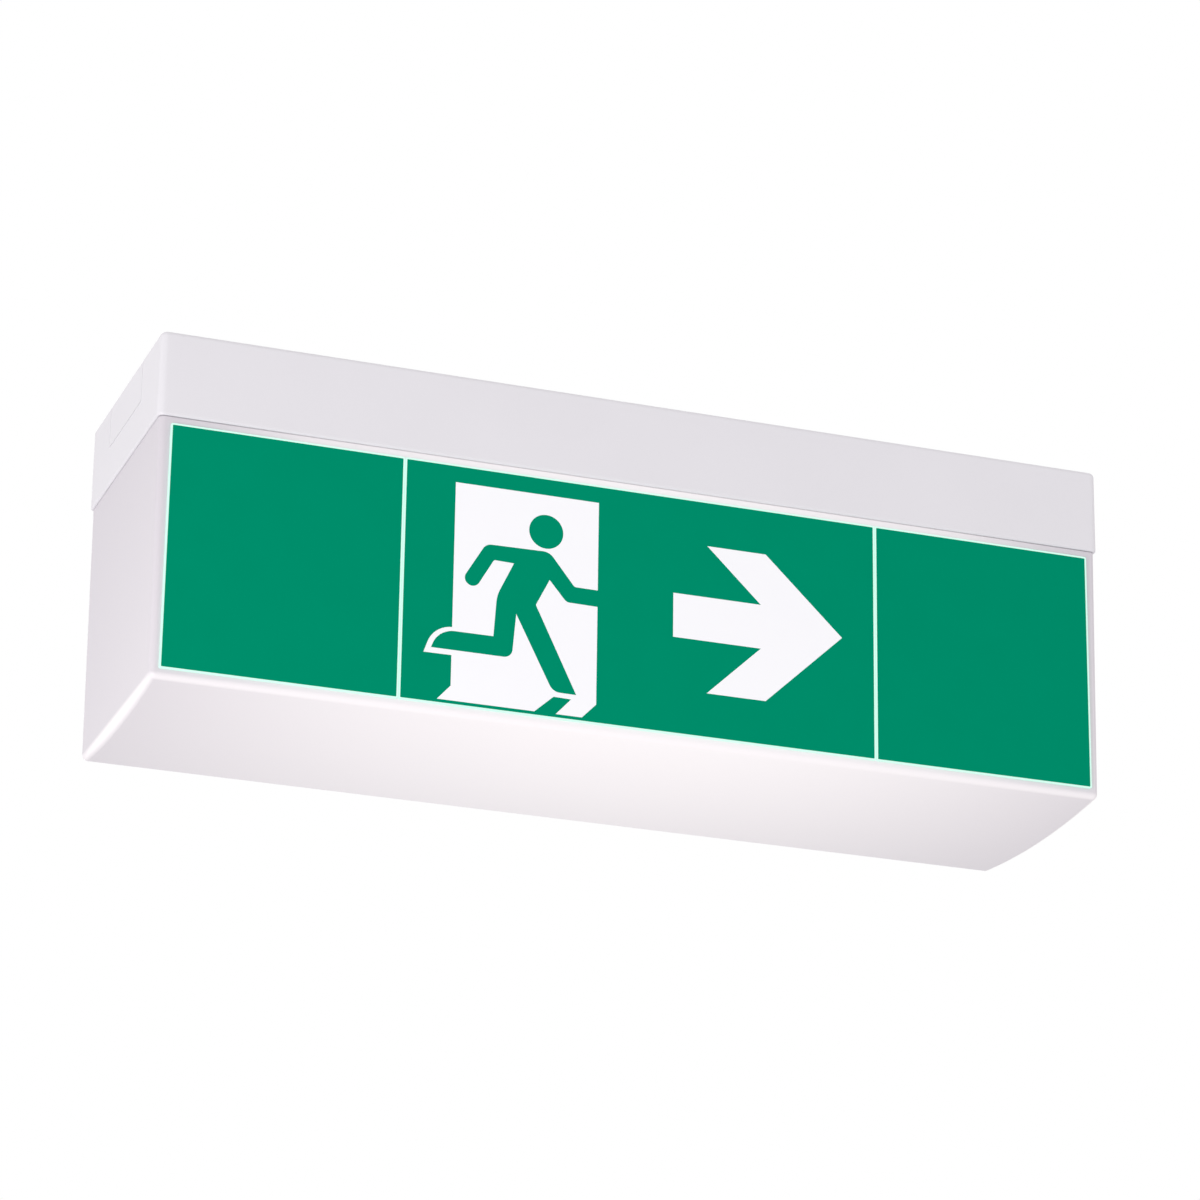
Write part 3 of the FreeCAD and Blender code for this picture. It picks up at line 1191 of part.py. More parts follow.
def button_spring():
    """Coil spring between the button's flange and the key switch."""
    body = new_body("button_spring")
    section = draw(body, "section", "XZ_Plane")
    room = "(indicator_gap - switch_height - button_flange)"
    low = f"-button_flange - {room} + spring_wire + slip"
    circle(section, "spring_radius", low, "spring_wire")
    coil = body.newObject("PartDesign::AdditiveHelix", "button_spring_coil")
    coil.Profile = section
    coil.ReferenceAxis = (section, ["V_Axis"])
    coil.Mode = "height-turns-angle"
    coil.setExpression("Height", on_sheet(f"{room} - 2 * spring_wire - 2 * slip"))
    coil.setExpression("Turns", on_sheet("spring_turns"))
    section.Visibility = False
    to_right_end(body, "button_y")


def status_lens():
    """Clear light pipe from the indicator board out through the right end wall."""
    body = new_body("status_lens")
    section = draw(body, "section", "XZ_Plane")
    outline(
        section,
        ("0", "-indicator_gap"),
        ("lens_radius - lens_neck", "-indicator_gap"),
        ("lens_radius - lens_neck", "-lens_shoulder"),
        ("lens_radius + lens_shoulder", "-lens_shoulder"),
        ("lens_radius + lens_shoulder", "0"),
        ("lens_radius", "0"),
        ("lens_radius", "side_wall + lens_stand - lens_dome", "lens_dome", 1),
        ("lens_radius - lens_dome", "side_wall + lens_stand"),
        ("0", "side_wall + lens_stand"),
    )
    revolve(body, section)
    to_right_end(body, "lens_y")


def indicator_board():
    """Small board on edge behind the end wall, held in the base's two guides."""
    body = new_body("indicator_board")
    face = draw(body, "face", "YZ_Plane", f"{INNER_X} - indicator_gap - indicator_thickness")
    rectangle(face, "0", "-ceiling_wall - indicator_height / 2", "indicator_width", "indicator_height")
    pad(body, face, "indicator_thickness")


def key_switch():
    """Key switch on the indicator board, in line with the button."""
    body = new_body("key_switch")
    face = draw(body, "face", "YZ_Plane", f"{INNER_X} - indicator_gap")
    rectangle(face, "button_y", "-button_drop", "switch_size", "switch_size")
    pad(body, face, "switch_height - plunger_stand")
    plunger = draw(body, "plunger", "YZ_Plane", f"{INNER_X} - indicator_gap")
    circle(plunger, "button_y", "-button_drop", "plunger_radius")
    pad(body, plunger, "switch_height")


def cover_clips():
    """Spring-steel clips under the tray: a bead on each springs into the catch inside the diffuser's rim."""
    body = new_body("cover_clips")
    profile = draw(body, "profile", "YZ_Plane", "cover_clip_x - cover_clip_width / 2")
    bead_y = f"({RIM_Y} - rim_wall - cover_clip_clearance)"
    leg_y = f"({bead_y} - cover_clip_bead)"
    bead_z = f"({RIM_TOP} + rim_height * cover_clip_seat)"
    gauge = "cover_clip_sheet"
    for side in ("-", ""):
        outline(
            profile,
            (f"{side}({leg_y} - cover_clip_foot)", f"-{TRAY_UNDER}"),
            (f"{side}{leg_y}", f"-{TRAY_UNDER}"),
            (f"{side}{leg_y}", f"-{bead_z} + cover_clip_rise"),
            (f"{side}{bead_y}", f"-{bead_z}"),
            (f"{side}{leg_y}", f"-{bead_z} - cover_clip_end"),
            (f"{side}({leg_y} - {gauge})", f"-{bead_z} - cover_clip_end + 0.6 * {gauge}"),
            (f"{side}({bead_y} - 1.3 * {gauge})", f"-{bead_z}"),
            (f"{side}({leg_y} - {gauge})", f"-{bead_z} + cover_clip_rise - 0.4 * {gauge}"),
            (f"{side}({leg_y} - {gauge})", f"-{TRAY_UNDER} - {gauge}"),
            (f"{side}({leg_y} - cover_clip_foot)", f"-{TRAY_UNDER} - {gauge}"),
        )
    mirror(body, pad(body, profile, "cover_clip_width"))


def mirror(body, feature):
    """Repeats a feature on the other side of the light's middle."""
    twin = body.newObject("PartDesign::Mirrored", f"{feature.Name}_mirrored")
    twin.Originals = [feature]
    twin.MirrorPlane = (next(one for one in body.Origin.OriginFeatures if one.Role == "YZ_Plane"), [""])
    body.Tip = twin


def diffuser_block(body, inset):
    """The diffuser's outer form, or its hollow: tapered ends and an arched bottom, drawn in by an inset."""
    top = SEAM
    bottom = f"({LOWER_EDGE_DROP} + arch_rise - {inset})"
    front = draw(body, "front", "XZ_Plane")
    slope = f"(end_taper / ({LOWER_EDGE_DROP} - {SEAM}))"
    top_x = f"({DIFFUSER_X} - {inset})"
    bottom_x = f"({top_x} - {slope} * ({bottom} - {top}))"
    upper = ((top_x, f"-{top}"), (f"-{top_x}", f"-{top}"))
    outline(front, *upper, (f"-{bottom_x}", f"-{bottom}"), (bottom_x, f"-{bottom}"))
    pad(body, front, f"2 * ({DIFFUSER_Y} - {inset})", both_ways=True)
    arch = draw(body, "arch", "YZ_Plane")
    half = f"({DIFFUSER_Y} + 1)"
    radius = f"(({DIFFUSER_Y} ^ 2 + arch_rise ^ 2) / (2 * arch_rise))"
    low = f"({LOWER_EDGE_DROP} + 2 * arch_rise)"
    spring = f"({LOWER_EDGE_DROP} + arch_rise - {radius} + sqrt(({radius} - {inset}) ^ 2 - {half} ^ 2))"
    outline(
        arch,
        (f"-{half}", f"-{spring}", f"({radius} - {inset})", 1),
        (half, f"-{spring}"),
        (half, f"-{low}"),
        (f"-{half}", f"-{low}"),
    )
    pocket(body, arch, "2 * base_length", both_ways=True)


def diffuser():
    """Opal diffuser: a thin-walled box whose rim slides up inside the base and carries four catches."""
    hollow = document.addObject("PartDesign::Body", "diffuser_hollow")
    diffuser_block(hollow, "diffuser_wall")
    document.recompute()

    body = new_body("diffuser")
    diffuser_block(body, "0")
    floor = -measure(LOWER_EDGE_DROP)
    round_edges(body, "diffuser_edge", lambda edge: spans_height(edge) or edge.BoundBox.ZMax < floor + 1)
    cut = body.newObject("PartDesign::Boolean", "diffuser_cut")
    cut.Type = "Cut"
    cut.setObjects([hollow])

    rim = draw(body, "rim", "XY_Plane", f"-{SEAM} - rim_overlap")
    corner = "(base_inner_corner - rim_clearance)"
    rounded_rectangle(rim, "0", "0", f"2 * {RIM_X}", f"2 * {RIM_Y}", corner)
    rectangle(rim, "0", "0", f"(2 * {RIM_X} - 2 * rim_wall)", f"(2 * {RIM_Y} - 2 * rim_wall)")
    pad(body, rim, "rim_height + rim_overlap")

    catches = draw(body, "catches", "XZ_Plane")
    for side in ("-", ""):
        middle = f"-{RIM_TOP} - rim_height * cover_clip_seat"
        rectangle(catches, f"{side}cover_clip_x", middle, "(cover_clip_width + 4)", "catch_height")
    pocket(body, catches, f"2 * ({RIM_Y} - rim_wall + catch_depth)", both_ways=True)


def spans_height(edge):
    """True for the diffuser's four corner edges."""
    box = edge.BoundBox
    return box.ZMax - box.ZMin > measure("legend_height") * 0.9


def legend_plate(label, left, right):
    """One sign plate on the diffuser's front, from one x to another."""
    body = new_body(label)
    face = draw(body, "face", "XZ_Plane", DIFFUSER_Y)
    x = f"(({left}) + ({right})) / 2"
    z = f"-{LEGEND_TOP} - legend_height / 2"
    rounded_rectangle(face, x, z, f"(({right}) - ({left}))", "legend_height", "legend_corner")
    pad(body, face, "legend_thickness")


def write_subparts():
    """Checks every feature and every shape, then writes one file for each sub-part."""
    document.recompute()
    failed = [thing.Name for thing in document.Objects if {"Invalid", "Error"} & set(thing.State)]
    failed += [body.Label for body in subparts if body.Shape.isNull() or not body.Shape.isValid()]
    if failed:
        raise RuntimeError(f"did not compute: {', '.join(failed)}")
    os.makedirs("parts", exist_ok=True)
    for body in subparts:
        body.Shape.exportStep(f"parts/{body.Label}.step")
        print(f"{body.Label}: {len(body.Shape.Solids)} solid(s), {body.Shape.Volume:.1f} mm3")


fill_sheet()
base_housing()
cable_grommet()
terminal_block()
terminal_screws()
gear_tray()
tray_screws()
led_board("led_board_left", "-")
led_board("led_board_right", "")
led_chips()
led_plugs()
board_rivets()
driver_board()
board_standoffs()
transformer()
capacitors()
boxed_component("relay", "relay_length", "relay_width", "relay_height", "driver_length * 0.22", "18")
film_capacitor = ("film_cap_length", "film_cap_width", "film_cap_height")
boxed_component("film_capacitor", *film_capacitor, "-driver_length * 0.12", "-17")
choke()
varistor()
driver_headers()
lead_plugs()
battery_pack()
battery_clips()
earth_tab()
led_leads()
battery_leads()
supply_leads()
indicator_lead()
indicator_board()
key_switch()
status_lens()
test_button()
button_spring()
cover_clips()
diffuser()
legend_plate("legend_left", f"-{LEGEND_X}", "-legend_centre_length / 2 - legend_gap")
legend_plate("legend_centre", "-legend_centre_length / 2", "legend_centre_length / 2")
legend_plate("legend_right", "legend_centre_length / 2 + legend_gap", LEGEND_X)
write_subparts()
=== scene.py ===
import math

import bmesh
import bpy
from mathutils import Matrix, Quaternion, Vector


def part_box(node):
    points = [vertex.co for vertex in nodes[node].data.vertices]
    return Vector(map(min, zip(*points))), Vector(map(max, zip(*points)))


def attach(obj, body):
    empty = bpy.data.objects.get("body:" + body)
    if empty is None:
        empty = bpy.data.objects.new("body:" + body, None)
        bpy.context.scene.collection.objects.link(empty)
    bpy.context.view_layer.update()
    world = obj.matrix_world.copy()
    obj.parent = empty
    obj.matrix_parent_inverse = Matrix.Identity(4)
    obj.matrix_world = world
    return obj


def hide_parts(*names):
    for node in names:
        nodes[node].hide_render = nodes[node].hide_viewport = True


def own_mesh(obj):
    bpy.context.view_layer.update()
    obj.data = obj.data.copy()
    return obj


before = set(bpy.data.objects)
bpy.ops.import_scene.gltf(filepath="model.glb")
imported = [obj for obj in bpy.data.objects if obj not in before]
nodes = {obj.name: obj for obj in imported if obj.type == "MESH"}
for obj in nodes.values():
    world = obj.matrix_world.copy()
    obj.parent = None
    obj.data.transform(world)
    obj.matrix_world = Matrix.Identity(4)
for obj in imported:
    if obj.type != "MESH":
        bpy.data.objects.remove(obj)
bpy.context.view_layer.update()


# --- Studio ------------------------------------------------------------------------------------------
# The light hangs in the open above a pale floor, in soft even light from all round. Softboxes stand low
# on the left, in front on the right and behind. The camera looks up from the front left, as someone
# who walks up to it.
scene = bpy.context.scene
scene.view_settings.view_transform = "Standard"

camera_data = bpy.data.cameras.new("camera")
camera_data.lens = 136
camera = bpy.data.objects.new("camera", camera_data)
scene.collection.objects.link(camera)
scene.camera = camera
azimuth, elevation, roll = math.radians(-19.5), math.radians(-20.6), math.radians(0.8)
aim = Vector((0.0006, -0.0028, -0.0667))
distance = 1.866
sideways = math.cos(elevation)
towards = Vector((math.sin(azimuth) * sideways, -math.cos(azimuth) * sideways, math.sin(elevation)))
camera.rotation_mode = "QUATERNION"
camera.location = aim + towards * distance
camera.rotation_quaternion = (-towards).to_track_quat("-Z", "Y") @ Quaternion((0, 0, 1), roll)


def srgb(code):
    """A colour that is written as an sRGB hex value, in linear light."""
    channels = [int(code[start:start + 2], 16) / 255 for start in (1, 3, 5)]
    return (*[c / 12.92 if c < 0.04045 else ((c + 0.055) / 1.055) ** 2.4 for c in channels], 1)


def add_node(tree, kind, feeds=None, **settings):
    """Adds a node. Settings are its properties; feeds are its sockets' values or the links into them."""
    node = tree.nodes.new(kind)
    for name, value in settings.items():
        setattr(node, name, value)
    for name, value in (feeds or {}).items():
        by_name = (socket for socket in node.inputs if socket.enabled and socket.name == name)
        socket = node.inputs[name] if isinstance(name, int) else next(by_name)
        if isinstance(value, bpy.types.Node):
            value = next(output for output in value.outputs if output.enabled)
        if isinstance(value, bpy.types.NodeSocket):
            tree.links.new(value, socket)
        else:
            socket.default_value = value
    return node


def seen_directly(tree):
    """1 for rays from the camera, and for those that a gloss or a clear part sends on; 0 for soft light."""
    path = add_node(tree, "ShaderNodeLightPath")
    gloss = add_node(
        tree, "ShaderNodeMath", {0: path.outputs["Is Camera Ray"], 1: path.outputs["Is Glossy Ray"]},
        operation="MAXIMUM",
    )
    return add_node(
        tree, "ShaderNodeMath", {0: gloss, 1: path.outputs["Is Transmission Ray"]}, operation="MAXIMUM",
    )


soft_light = 0.78
world = bpy.data.worlds.new("studio")
world.use_nodes = True
world.node_tree.nodes.clear()
soft = add_node(world.node_tree, "ShaderNodeBackground", {"Color": srgb("#FFFFFF"), "Strength": soft_light})
white = add_node(world.node_tree, "ShaderNodeBackground", {"Color": (1, 1, 1, 1), "Strength": 1})
seen = seen_directly(world.node_tree)
backdrop = add_node(world.node_tree, "ShaderNodeMixShader", {0: seen, 1: soft, 2: white})
add_node(world.node_tree, "ShaderNodeOutputWorld", {"Surface": backdrop})
scene.world = world

# Each softbox: where it stands and how wide it is, in metres, and its watts.
softboxes = (
    ("key", (-1.4, -1.0, -0.85), 1.0, 13.4),
    ("low", (-0.8, -0.25, -0.8), 0.5, 0.9),
    ("fill", (1.7, -1.2, 0.4), 1.0, 5),
    ("rear", (0.3, 2.0, 0.9), 1.2, 9),
)
for name, stand, width, power in softboxes:
    lamp = bpy.data.lights.new(name, "AREA")
    lamp.size = width
    lamp.energy = power
    holder = bpy.data.objects.new(name, lamp)
    holder.location = stand
    holder.rotation_euler = (aim - Vector(stand)).to_track_quat("-Z", "Y").to_euler()
    scene.collection.objects.link(holder)

floor_level = -2.2
half_floor = 30
floor_whiteness = 0.85
floor_mesh = bpy.data.meshes.new("floor")
floor_mesh.from_pydata(
    [(x * half_floor, y * half_floor, floor_level) for x, y in ((-1, -1), (1, -1), (1, 1), (-1, 1))],
    [], [(0, 1, 2, 3)],
)
floor = bpy.data.objects.new("floor", floor_mesh)
scene.collection.objects.link(floor)
# Matt studio paper: white to the eye, with a soft shadow where the light hangs over it.
pale = bpy.data.materials.new("matt_paper")
pale.use_nodes = True
pale.node_tree.nodes.clear()
paper = add_node(pale.node_tree, "ShaderNodeBsdfDiffuse", {"Color": srgb("#F4F3F4")})
bright = add_node(pale.node_tree, "ShaderNodeEmission", {"Color": (1, 1, 1, 1), "Strength": 1})
whiter = add_node(
    pale.node_tree, "ShaderNodeMath", {0: seen_directly(pale.node_tree), 1: floor_whiteness},
    operation="MULTIPLY",
)
sheet = add_node(pale.node_tree, "ShaderNodeMixShader", {0: whiter, 1: paper, 2: bright})
add_node(pale.node_tree, "ShaderNodeOutputMaterial", {"Surface": sheet})
floor_mesh.materials.append(pale)


# --- Base housing ------------------------------------------------------------------------------------
# One injection-moulded tray of light grey ABS, open downwards, screwed to the ceiling through four
# slots. Its mould was spark-eroded, which gives the eye a fine satin grain with no gloss.
MM = 0.001


def start_material(name, colour, roughness, **constants):
    """A material with one Principled shader, and the Object coordinates that its patterns read."""
    material = bpy.data.materials.new(name)
    material.use_nodes = True
    tree = material.node_tree
    shader = tree.nodes["Principled BSDF"]
    shader.inputs["Base Color"].default_value = srgb(colour)
    shader.inputs["Roughness"].default_value = roughness
    for label, value in constants.items():
        shader.inputs[label.replace("_", " ")].default_value = value
    return material, tree, shader, add_node(tree, "ShaderNodeTexCoord").outputs["Object"]


def moulded_plastic(name, colour, shade, roughness=0.45, grain=0.5, depth=0.02, **constants):
    """Moulded plastic: an even colour that drifts to shade where the melt flowed, and a mould grain (mm).

    The finest grains are drawn two or three times as coarse as real ones, so that they show.
    """
    flow_length = 40 * MM
    sheen_drift = 0.05
    material, tree, shader, place = start_material(name, colour, roughness, **constants)
    flow = add_node(tree, "ShaderNodeTexNoise", {"Vector": place, "Scale": 1 / flow_length, "Detail": 3.0})
    drift = add_node(
        tree, "ShaderNodeMix", {"Factor": flow, "A": srgb(colour), "B": srgb(shade)}, data_type="RGBA",
    )
    pits = add_node(tree, "ShaderNodeTexNoise", {"Vector": place, "Scale": 1 / (grain * MM), "Detail": 2.0})
    relief = add_node(tree, "ShaderNodeBump", {"Height": pits, "Distance": depth * MM})
    sheen = add_node(
        tree, "ShaderNodeMapRange",
        {"Value": flow, "To Min": roughness - sheen_drift, "To Max": roughness + sheen_drift},
    )
    tree.links.new(drift.outputs[2], shader.inputs["Base Color"])
    tree.links.new(sheen.outputs[0], shader.inputs["Roughness"])
    tree.links.new(relief.outputs[0], shader.inputs["Normal"])
    return material


def coat(material, *names):
    """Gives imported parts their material."""
    for name in names:
        nodes[name].data.materials.clear()
        nodes[name].data.materials.append(material)


abs_plastic = moulded_plastic("grained_abs", "#E3E0E5", "#DFDCE1", roughness=0.5, grain=0.6, depth=0.03)
coat(abs_plastic, "base_housing")


# --- Cable grommet -----------------------------------------------------------------------------------
# A moulded EPDM rubber ring that is pressed into the round entry of the base. Its groove grips the
# plate and its collar closes round the mains cable. Rubber is near black, matt and slightly dusty.
rubber, tree, shader, place = start_material("epdm_rubber", "#2B2B2D", 0.75, Specular_IOR_Level=0.3)
dust = add_node(tree, "ShaderNodeTexNoise", {"Vector": place, "Scale": 1 / (3 * MM), "Detail": 6.0})
tint = add_node(
    tree, "ShaderNodeMix", {"Factor": dust, "A": srgb("#232325"), "B": srgb("#3B3A3C")}, data_type="RGBA",
)
skin = add_node(tree, "ShaderNodeBump", {"Height": dust, "Distance": 0.05 * MM})
tree.links.new(tint.outputs[2], shader.inputs["Base Color"])
tree.links.new(skin.outputs[0], shader.inputs["Normal"])
coat(rubber, "cable_grommet")


# --- Terminal block ----------------------------------------------------------------------------------
# Five poles in one glass-filled polyamide moulding, ivory and dry-looking, with a brass clamp in every
# wire hole and a slotted steel screw over it. The block snaps into the cradle in the base.
polyamide = moulded_plastic(
    "glass_filled_polyamide", "#E9E4D6", "#DDD7C6", roughness=0.6, grain=0.3, depth=0.04,
)
coat(polyamide, "terminal_block")


def bright_metal(name, colour, roughness, grain, stretch=(1, 1, 1), depth=0.01):
    """Bare or plated metal: its lustre changes from crystal to crystal, or along the lay of a brush (mm).

    The crystals are drawn coarser than real ones, so that they show.
    """
    material, tree, shader, place = start_material(name, colour, roughness, Metallic=1.0)
    lay = add_node(tree, "ShaderNodeMapping", {"Vector": place, "Scale": stretch})
    crystals = add_node(tree, "ShaderNodeTexNoise", {"Vector": lay, "Scale": 1 / (grain * MM), "Detail": 3.0})
    lustre = add_node(
        tree, "ShaderNodeMapRange", {"Value": crystals, "To Min": roughness * 0.7, "To Max": roughness * 1.4},
    )
    scratches = add_node(tree, "ShaderNodeBump", {"Height": crystals, "Distance": depth * MM})
    tree.links.new(lustre.outputs[0], shader.inputs["Roughness"])
    tree.links.new(scratches.outputs[0], shader.inputs["Normal"])
    return material


def place_mesh(name, mesh, material, body):
    """Makes a finished mesh a piece that rides on a body, with its place in its mesh."""
    piece = bpy.data.objects.new(name, mesh)
    scene.collection.objects.link(piece)
    if material:
        mesh.materials.clear()
        mesh.materials.append(material)
    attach(piece, body)
    return piece


def grow(name, body, material, sizes, build, points=()):
    """Runs a node tree once, on points if it needs them, and keeps the result as a plain mesh on a body."""
    tree = bpy.data.node_groups.new(name, "GeometryNodeTree")
    tree.interface.new_socket("Geometry", in_out="OUTPUT", socket_type="NodeSocketGeometry")
    tree.interface.new_socket("Geometry", in_out="INPUT", socket_type="NodeSocketGeometry")
    kinds = {int: "NodeSocketInt", float: "NodeSocketFloat", tuple: "NodeSocketVector"}
    sockets = {
        label: tree.interface.new_socket(label, in_out="INPUT", socket_type=kinds[type(value)]).identifier
        for label, value in sizes.items()
    }
    given = add_node(tree, "NodeGroupInput")
    shape = build(tree, given.outputs)
    real = add_node(tree, "GeometryNodeRealizeInstances", {"Geometry": shape})
    coated = add_node(tree, "GeometryNodeSetMaterial", {"Geometry": real, "Material": material})
    add_node(tree, "NodeGroupOutput", {"Geometry": coated})
    seed = bpy.data.meshes.new(name)
    seed.from_pydata(list(points), [], [])
    grower = bpy.data.objects.new(name, seed)
    scene.collection.objects.link(grower)
    modifier = grower.modifiers.new(name, "NODES")
    modifier.node_group = tree
    for label, value in sizes.items():
        modifier[sockets[label]] = value
    grown = bpy.data.meshes.new_from_object(grower.evaluated_get(bpy.context.evaluated_depsgraph_get()))
    grower.modifiers.remove(modifier)
    bpy.data.objects.remove(grower)
    bpy.data.node_groups.remove(tree)
    grown.name = name
    return place_mesh(name, grown, None, body)


def middles(node):
    """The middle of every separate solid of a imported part, and its size, in order along X."""
    solid = bmesh.new()
    solid.from_mesh(nodes[node].data)
    bmesh.ops.remove_doubles(solid, verts=solid.verts, dist=0.001 * MM)
    waiting = set(solid.verts)
    found = []
    while waiting:
        island = [waiting.pop()]
        for vertex in island:
            for edge in vertex.link_edges:
                other = edge.other_vert(vertex)
                if other in waiting:
                    waiting.discard(other)
                    island.append(other)
        low = Vector(map(min, zip(*(vertex.co for vertex in island))))
        high = Vector(map(max, zip(*(vertex.co for vertex in island))))
        found.append(((low + high) / 2, high - low))
    solid.free()
    return sorted(found, key=lambda each: (round(each[0].x, 5), each[0].y))


def tubes_on_points(tree, given):
    """A hollow tube along Y on every point."""
    ring = add_node(tree, "GeometryNodeCurvePrimitiveCircle", {"Resolution": 20, "Radius": given["Radius"]})
    wall = add_node(
        tree, "GeometryNodeCurvePrimitiveQuadrilateral", {"Width": given["Wall"], "Height": given["Length"]},
    )
    tube = add_node(tree, "GeometryNodeCurveToMesh", {"Curve": ring, "Profile Curve": wall})
    points = add_node(tree, "GeometryNodeMeshToPoints", {"Mesh": given["Geometry"]})
    quarter = (math.pi / 2, 0, 0)
    return add_node(
        tree, "GeometryNodeInstanceOnPoints", {"Points": points, "Instance": tube, "Rotation": quarter},
    )


# Brass under a thin coat of tin: a soft, slightly warm silver.
tinned_brass = bright_metal("tinned_brass", "#D6CFBE", 0.3, 0.4)
block_low, block_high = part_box("terminal_block")
screws = middles("terminal_screws")
wire_hole_share = 0.35
wire_level = block_high.z - wire_hole_share * (block_high.z - block_low.z)
clamps = [(middle.x, (block_low.y + block_high.y) / 2, wire_level) for middle, size in screws]
grow(
    "terminal_clamps", "base", tinned_brass,
    {"Radius": 1.65 * MM, "Wall": 0.5 * MM, "Length": 14.0 * MM}, tubes_on_points, clamps,
)
# Bright zinc plate: a cool, clean gleam that is uneven from crystal to crystal.
zinc = bright_metal("bright_zinc_plate", "#C9CCD0", 0.32, 0.8, depth=0.015)
coat(zinc, "terminal_screws")


# --- Gear tray ---------------------------------------------------------------------------------------
# Folded 1 mm sheet steel that carries the gear on its back and the LED boards below. It is powder
# coated white to throw the light down. Four plated pan-head screws hold it to the posts of the base.
# The coat has a fine orange-peel skin, and its white drifts a little over each 60 mm or so.
enamel, tree, shader, place = start_material("white_powder_coat", "#F3F3F1", 0.38)
peel = add_node(tree, "ShaderNodeTexNoise", {"Vector": place, "Scale": 1 / (1.4 * MM), "Detail": 1.0})
skin = add_node(tree, "ShaderNodeBump", {"Height": peel, "Distance": 0.06 * MM})
cloud = add_node(tree, "ShaderNodeTexNoise", {"Vector": place, "Scale": 1 / (60 * MM)})
tint = add_node(
    tree, "ShaderNodeMix", {"Factor": cloud, "A": srgb("#F5F5F3"), "B": srgb("#EFEEEA")}, data_type="RGBA",
)
tree.links.new(tint.outputs[2], shader.inputs["Base Color"])
tree.links.new(skin.outputs[0], shader.inputs["Normal"])
coat(enamel, "gear_tray")
coat(zinc, "tray_screws")


def threads_on_points(tree, given):
    """A screw thread about Z on every point: a thin helix that tapers into the shank at both ends."""
    helix = add_node(
        tree, "GeometryNodeCurveSpiral",
        {"Resolution": 18, "Rotations": given["Turns"], "Start Radius": given["Radius"],
         "End Radius": given["Radius"], "Height": given["Length"]},
    )
    ridge = add_node(tree, "GeometryNodeCurvePrimitiveCircle", {"Resolution": 3, "Radius": given["Ridge"]})
    thread = add_node(
        tree, "GeometryNodeCurveToMesh", {"Curve": helix, "Profile Curve": ridge, "Fill Caps": True},
    )
    points = add_node(tree, "GeometryNodeMeshToPoints", {"Mesh": given["Geometry"]})
    return add_node(tree, "GeometryNodeInstanceOnPoints", {"Points": points, "Instance": thread})


tray_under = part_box("gear_tray")[0].z
thread_start = tray_under + 0.6 * MM
shanks = [(middle.x, middle.y, thread_start) for middle, size in middles("tray_screws")]
grow(
    "screw_threads", "base", zinc,
    {"Turns": 6.0, "Radius": 1.25 * MM, "Length": 8.6 * MM, "Ridge": 0.3 * MM}, threads_on_points, shanks,
)


# --- LED boards --------------------------------------------------------------------------------------
# Two aluminium-core boards with a white solder mask, each with six white LED packages in a row and a
# small nylon plug. Nylon push-in rivets hold them flat on the tray, which takes up their heat.
chips = middles("led_chips")
chip_pitch = chips[1][0].x - chips[0][0].x
pour_width = 7 * MM
pour_gap = 0.006 * chip_pitch
# Screened solder mask: a clean, fairly glossy white in which the gaps between the copper pours under
# it show as faint grooves.
mask, tree, shader, place = start_material("white_solder_mask", "#F1F1EC", 0.33)
from_chip = add_node(
    tree, "ShaderNodeMapping", {"Vector": place, "Location": (-chips[0][0].x, -pour_width / 2, 0)},
)
pours = add_node(
    tree, "ShaderNodeTexBrick",
    {"Vector": from_chip, "Scale": 1 / chip_pitch, "Mortar Size": pour_gap / chip_pitch, "Mortar Smooth": 0.3,
     "Brick Width": 1.0, "Row Height": pour_width / chip_pitch,
     "Color1": srgb("#F4F4EF"), "Color2": srgb("#F1F1EB"), "Mortar": srgb("#E2E2D8")}, offset=0.0,
)
step = add_node(tree, "ShaderNodeBump", {"Height": pours.outputs["Fac"], "Distance": 0.05 * MM}, invert=True)
tree.links.new(pours.outputs["Color"], shader.inputs["Base Color"])
tree.links.new(step.outputs[0], shader.inputs["Normal"])
coat(mask, "led_board_left", "led_board_right")
# Moulded LED package: smooth, warm white.
coat(moulded_plastic("led_package", "#F2F1EA", "#ECEAE0", roughness=0.35, grain=0.2, depth=0.01), "led_chips")
# Natural nylon: milky ivory with a soft gleam.
nylon = moulded_plastic("natural_nylon", "#E8E5D9", "#DFDBCB", roughness=0.42, grain=0.35, depth=0.02)
coat(nylon, "led_plugs", "board_rivets")

# Silicone filled with phosphor: smooth egg yellow with fine grains in it, lit a little from within.
phosphor, tree, shader, place = start_material(
    "led_phosphor", "#F2D25A", 0.25, Emission_Color=srgb("#FFF3D6"), Emission_Strength=0.5,
)
crystals = add_node(tree, "ShaderNodeTexNoise", {"Vector": place, "Scale": 1 / (0.25 * MM)})
tint = add_node(
    tree, "ShaderNodeMix", {"Factor": crystals, "A": srgb("#F5DA6C"), "B": srgb("#E9C23F")}, data_type="RGBA",
)
tree.links.new(tint.outputs[2], shader.inputs["Base Color"])


def domes_on_points(tree, given):
    """A flat clear dome that looks down on every point."""
    ball = add_node(tree, "GeometryNodeMeshUVSphere", {"Segments": 20, "Rings": 8, "Radius": given["Radius"]})
    flat = add_node(tree, "GeometryNodeTransform", {"Geometry": ball, "Scale": given["Flatten"]})
    points = add_node(tree, "GeometryNodeMeshToPoints", {"Mesh": given["Geometry"]})
    return add_node(tree, "GeometryNodeInstanceOnPoints", {"Points": points, "Instance": flat})


windows = [(middle.x, middle.y, middle.z - size.z / 2) for middle, size in chips]
grow(
    "led_windows", "base", phosphor,
    {"Radius": 1.15 * MM, "Flatten": (1.0, 1.0, 0.22)}, domes_on_points, windows,
)


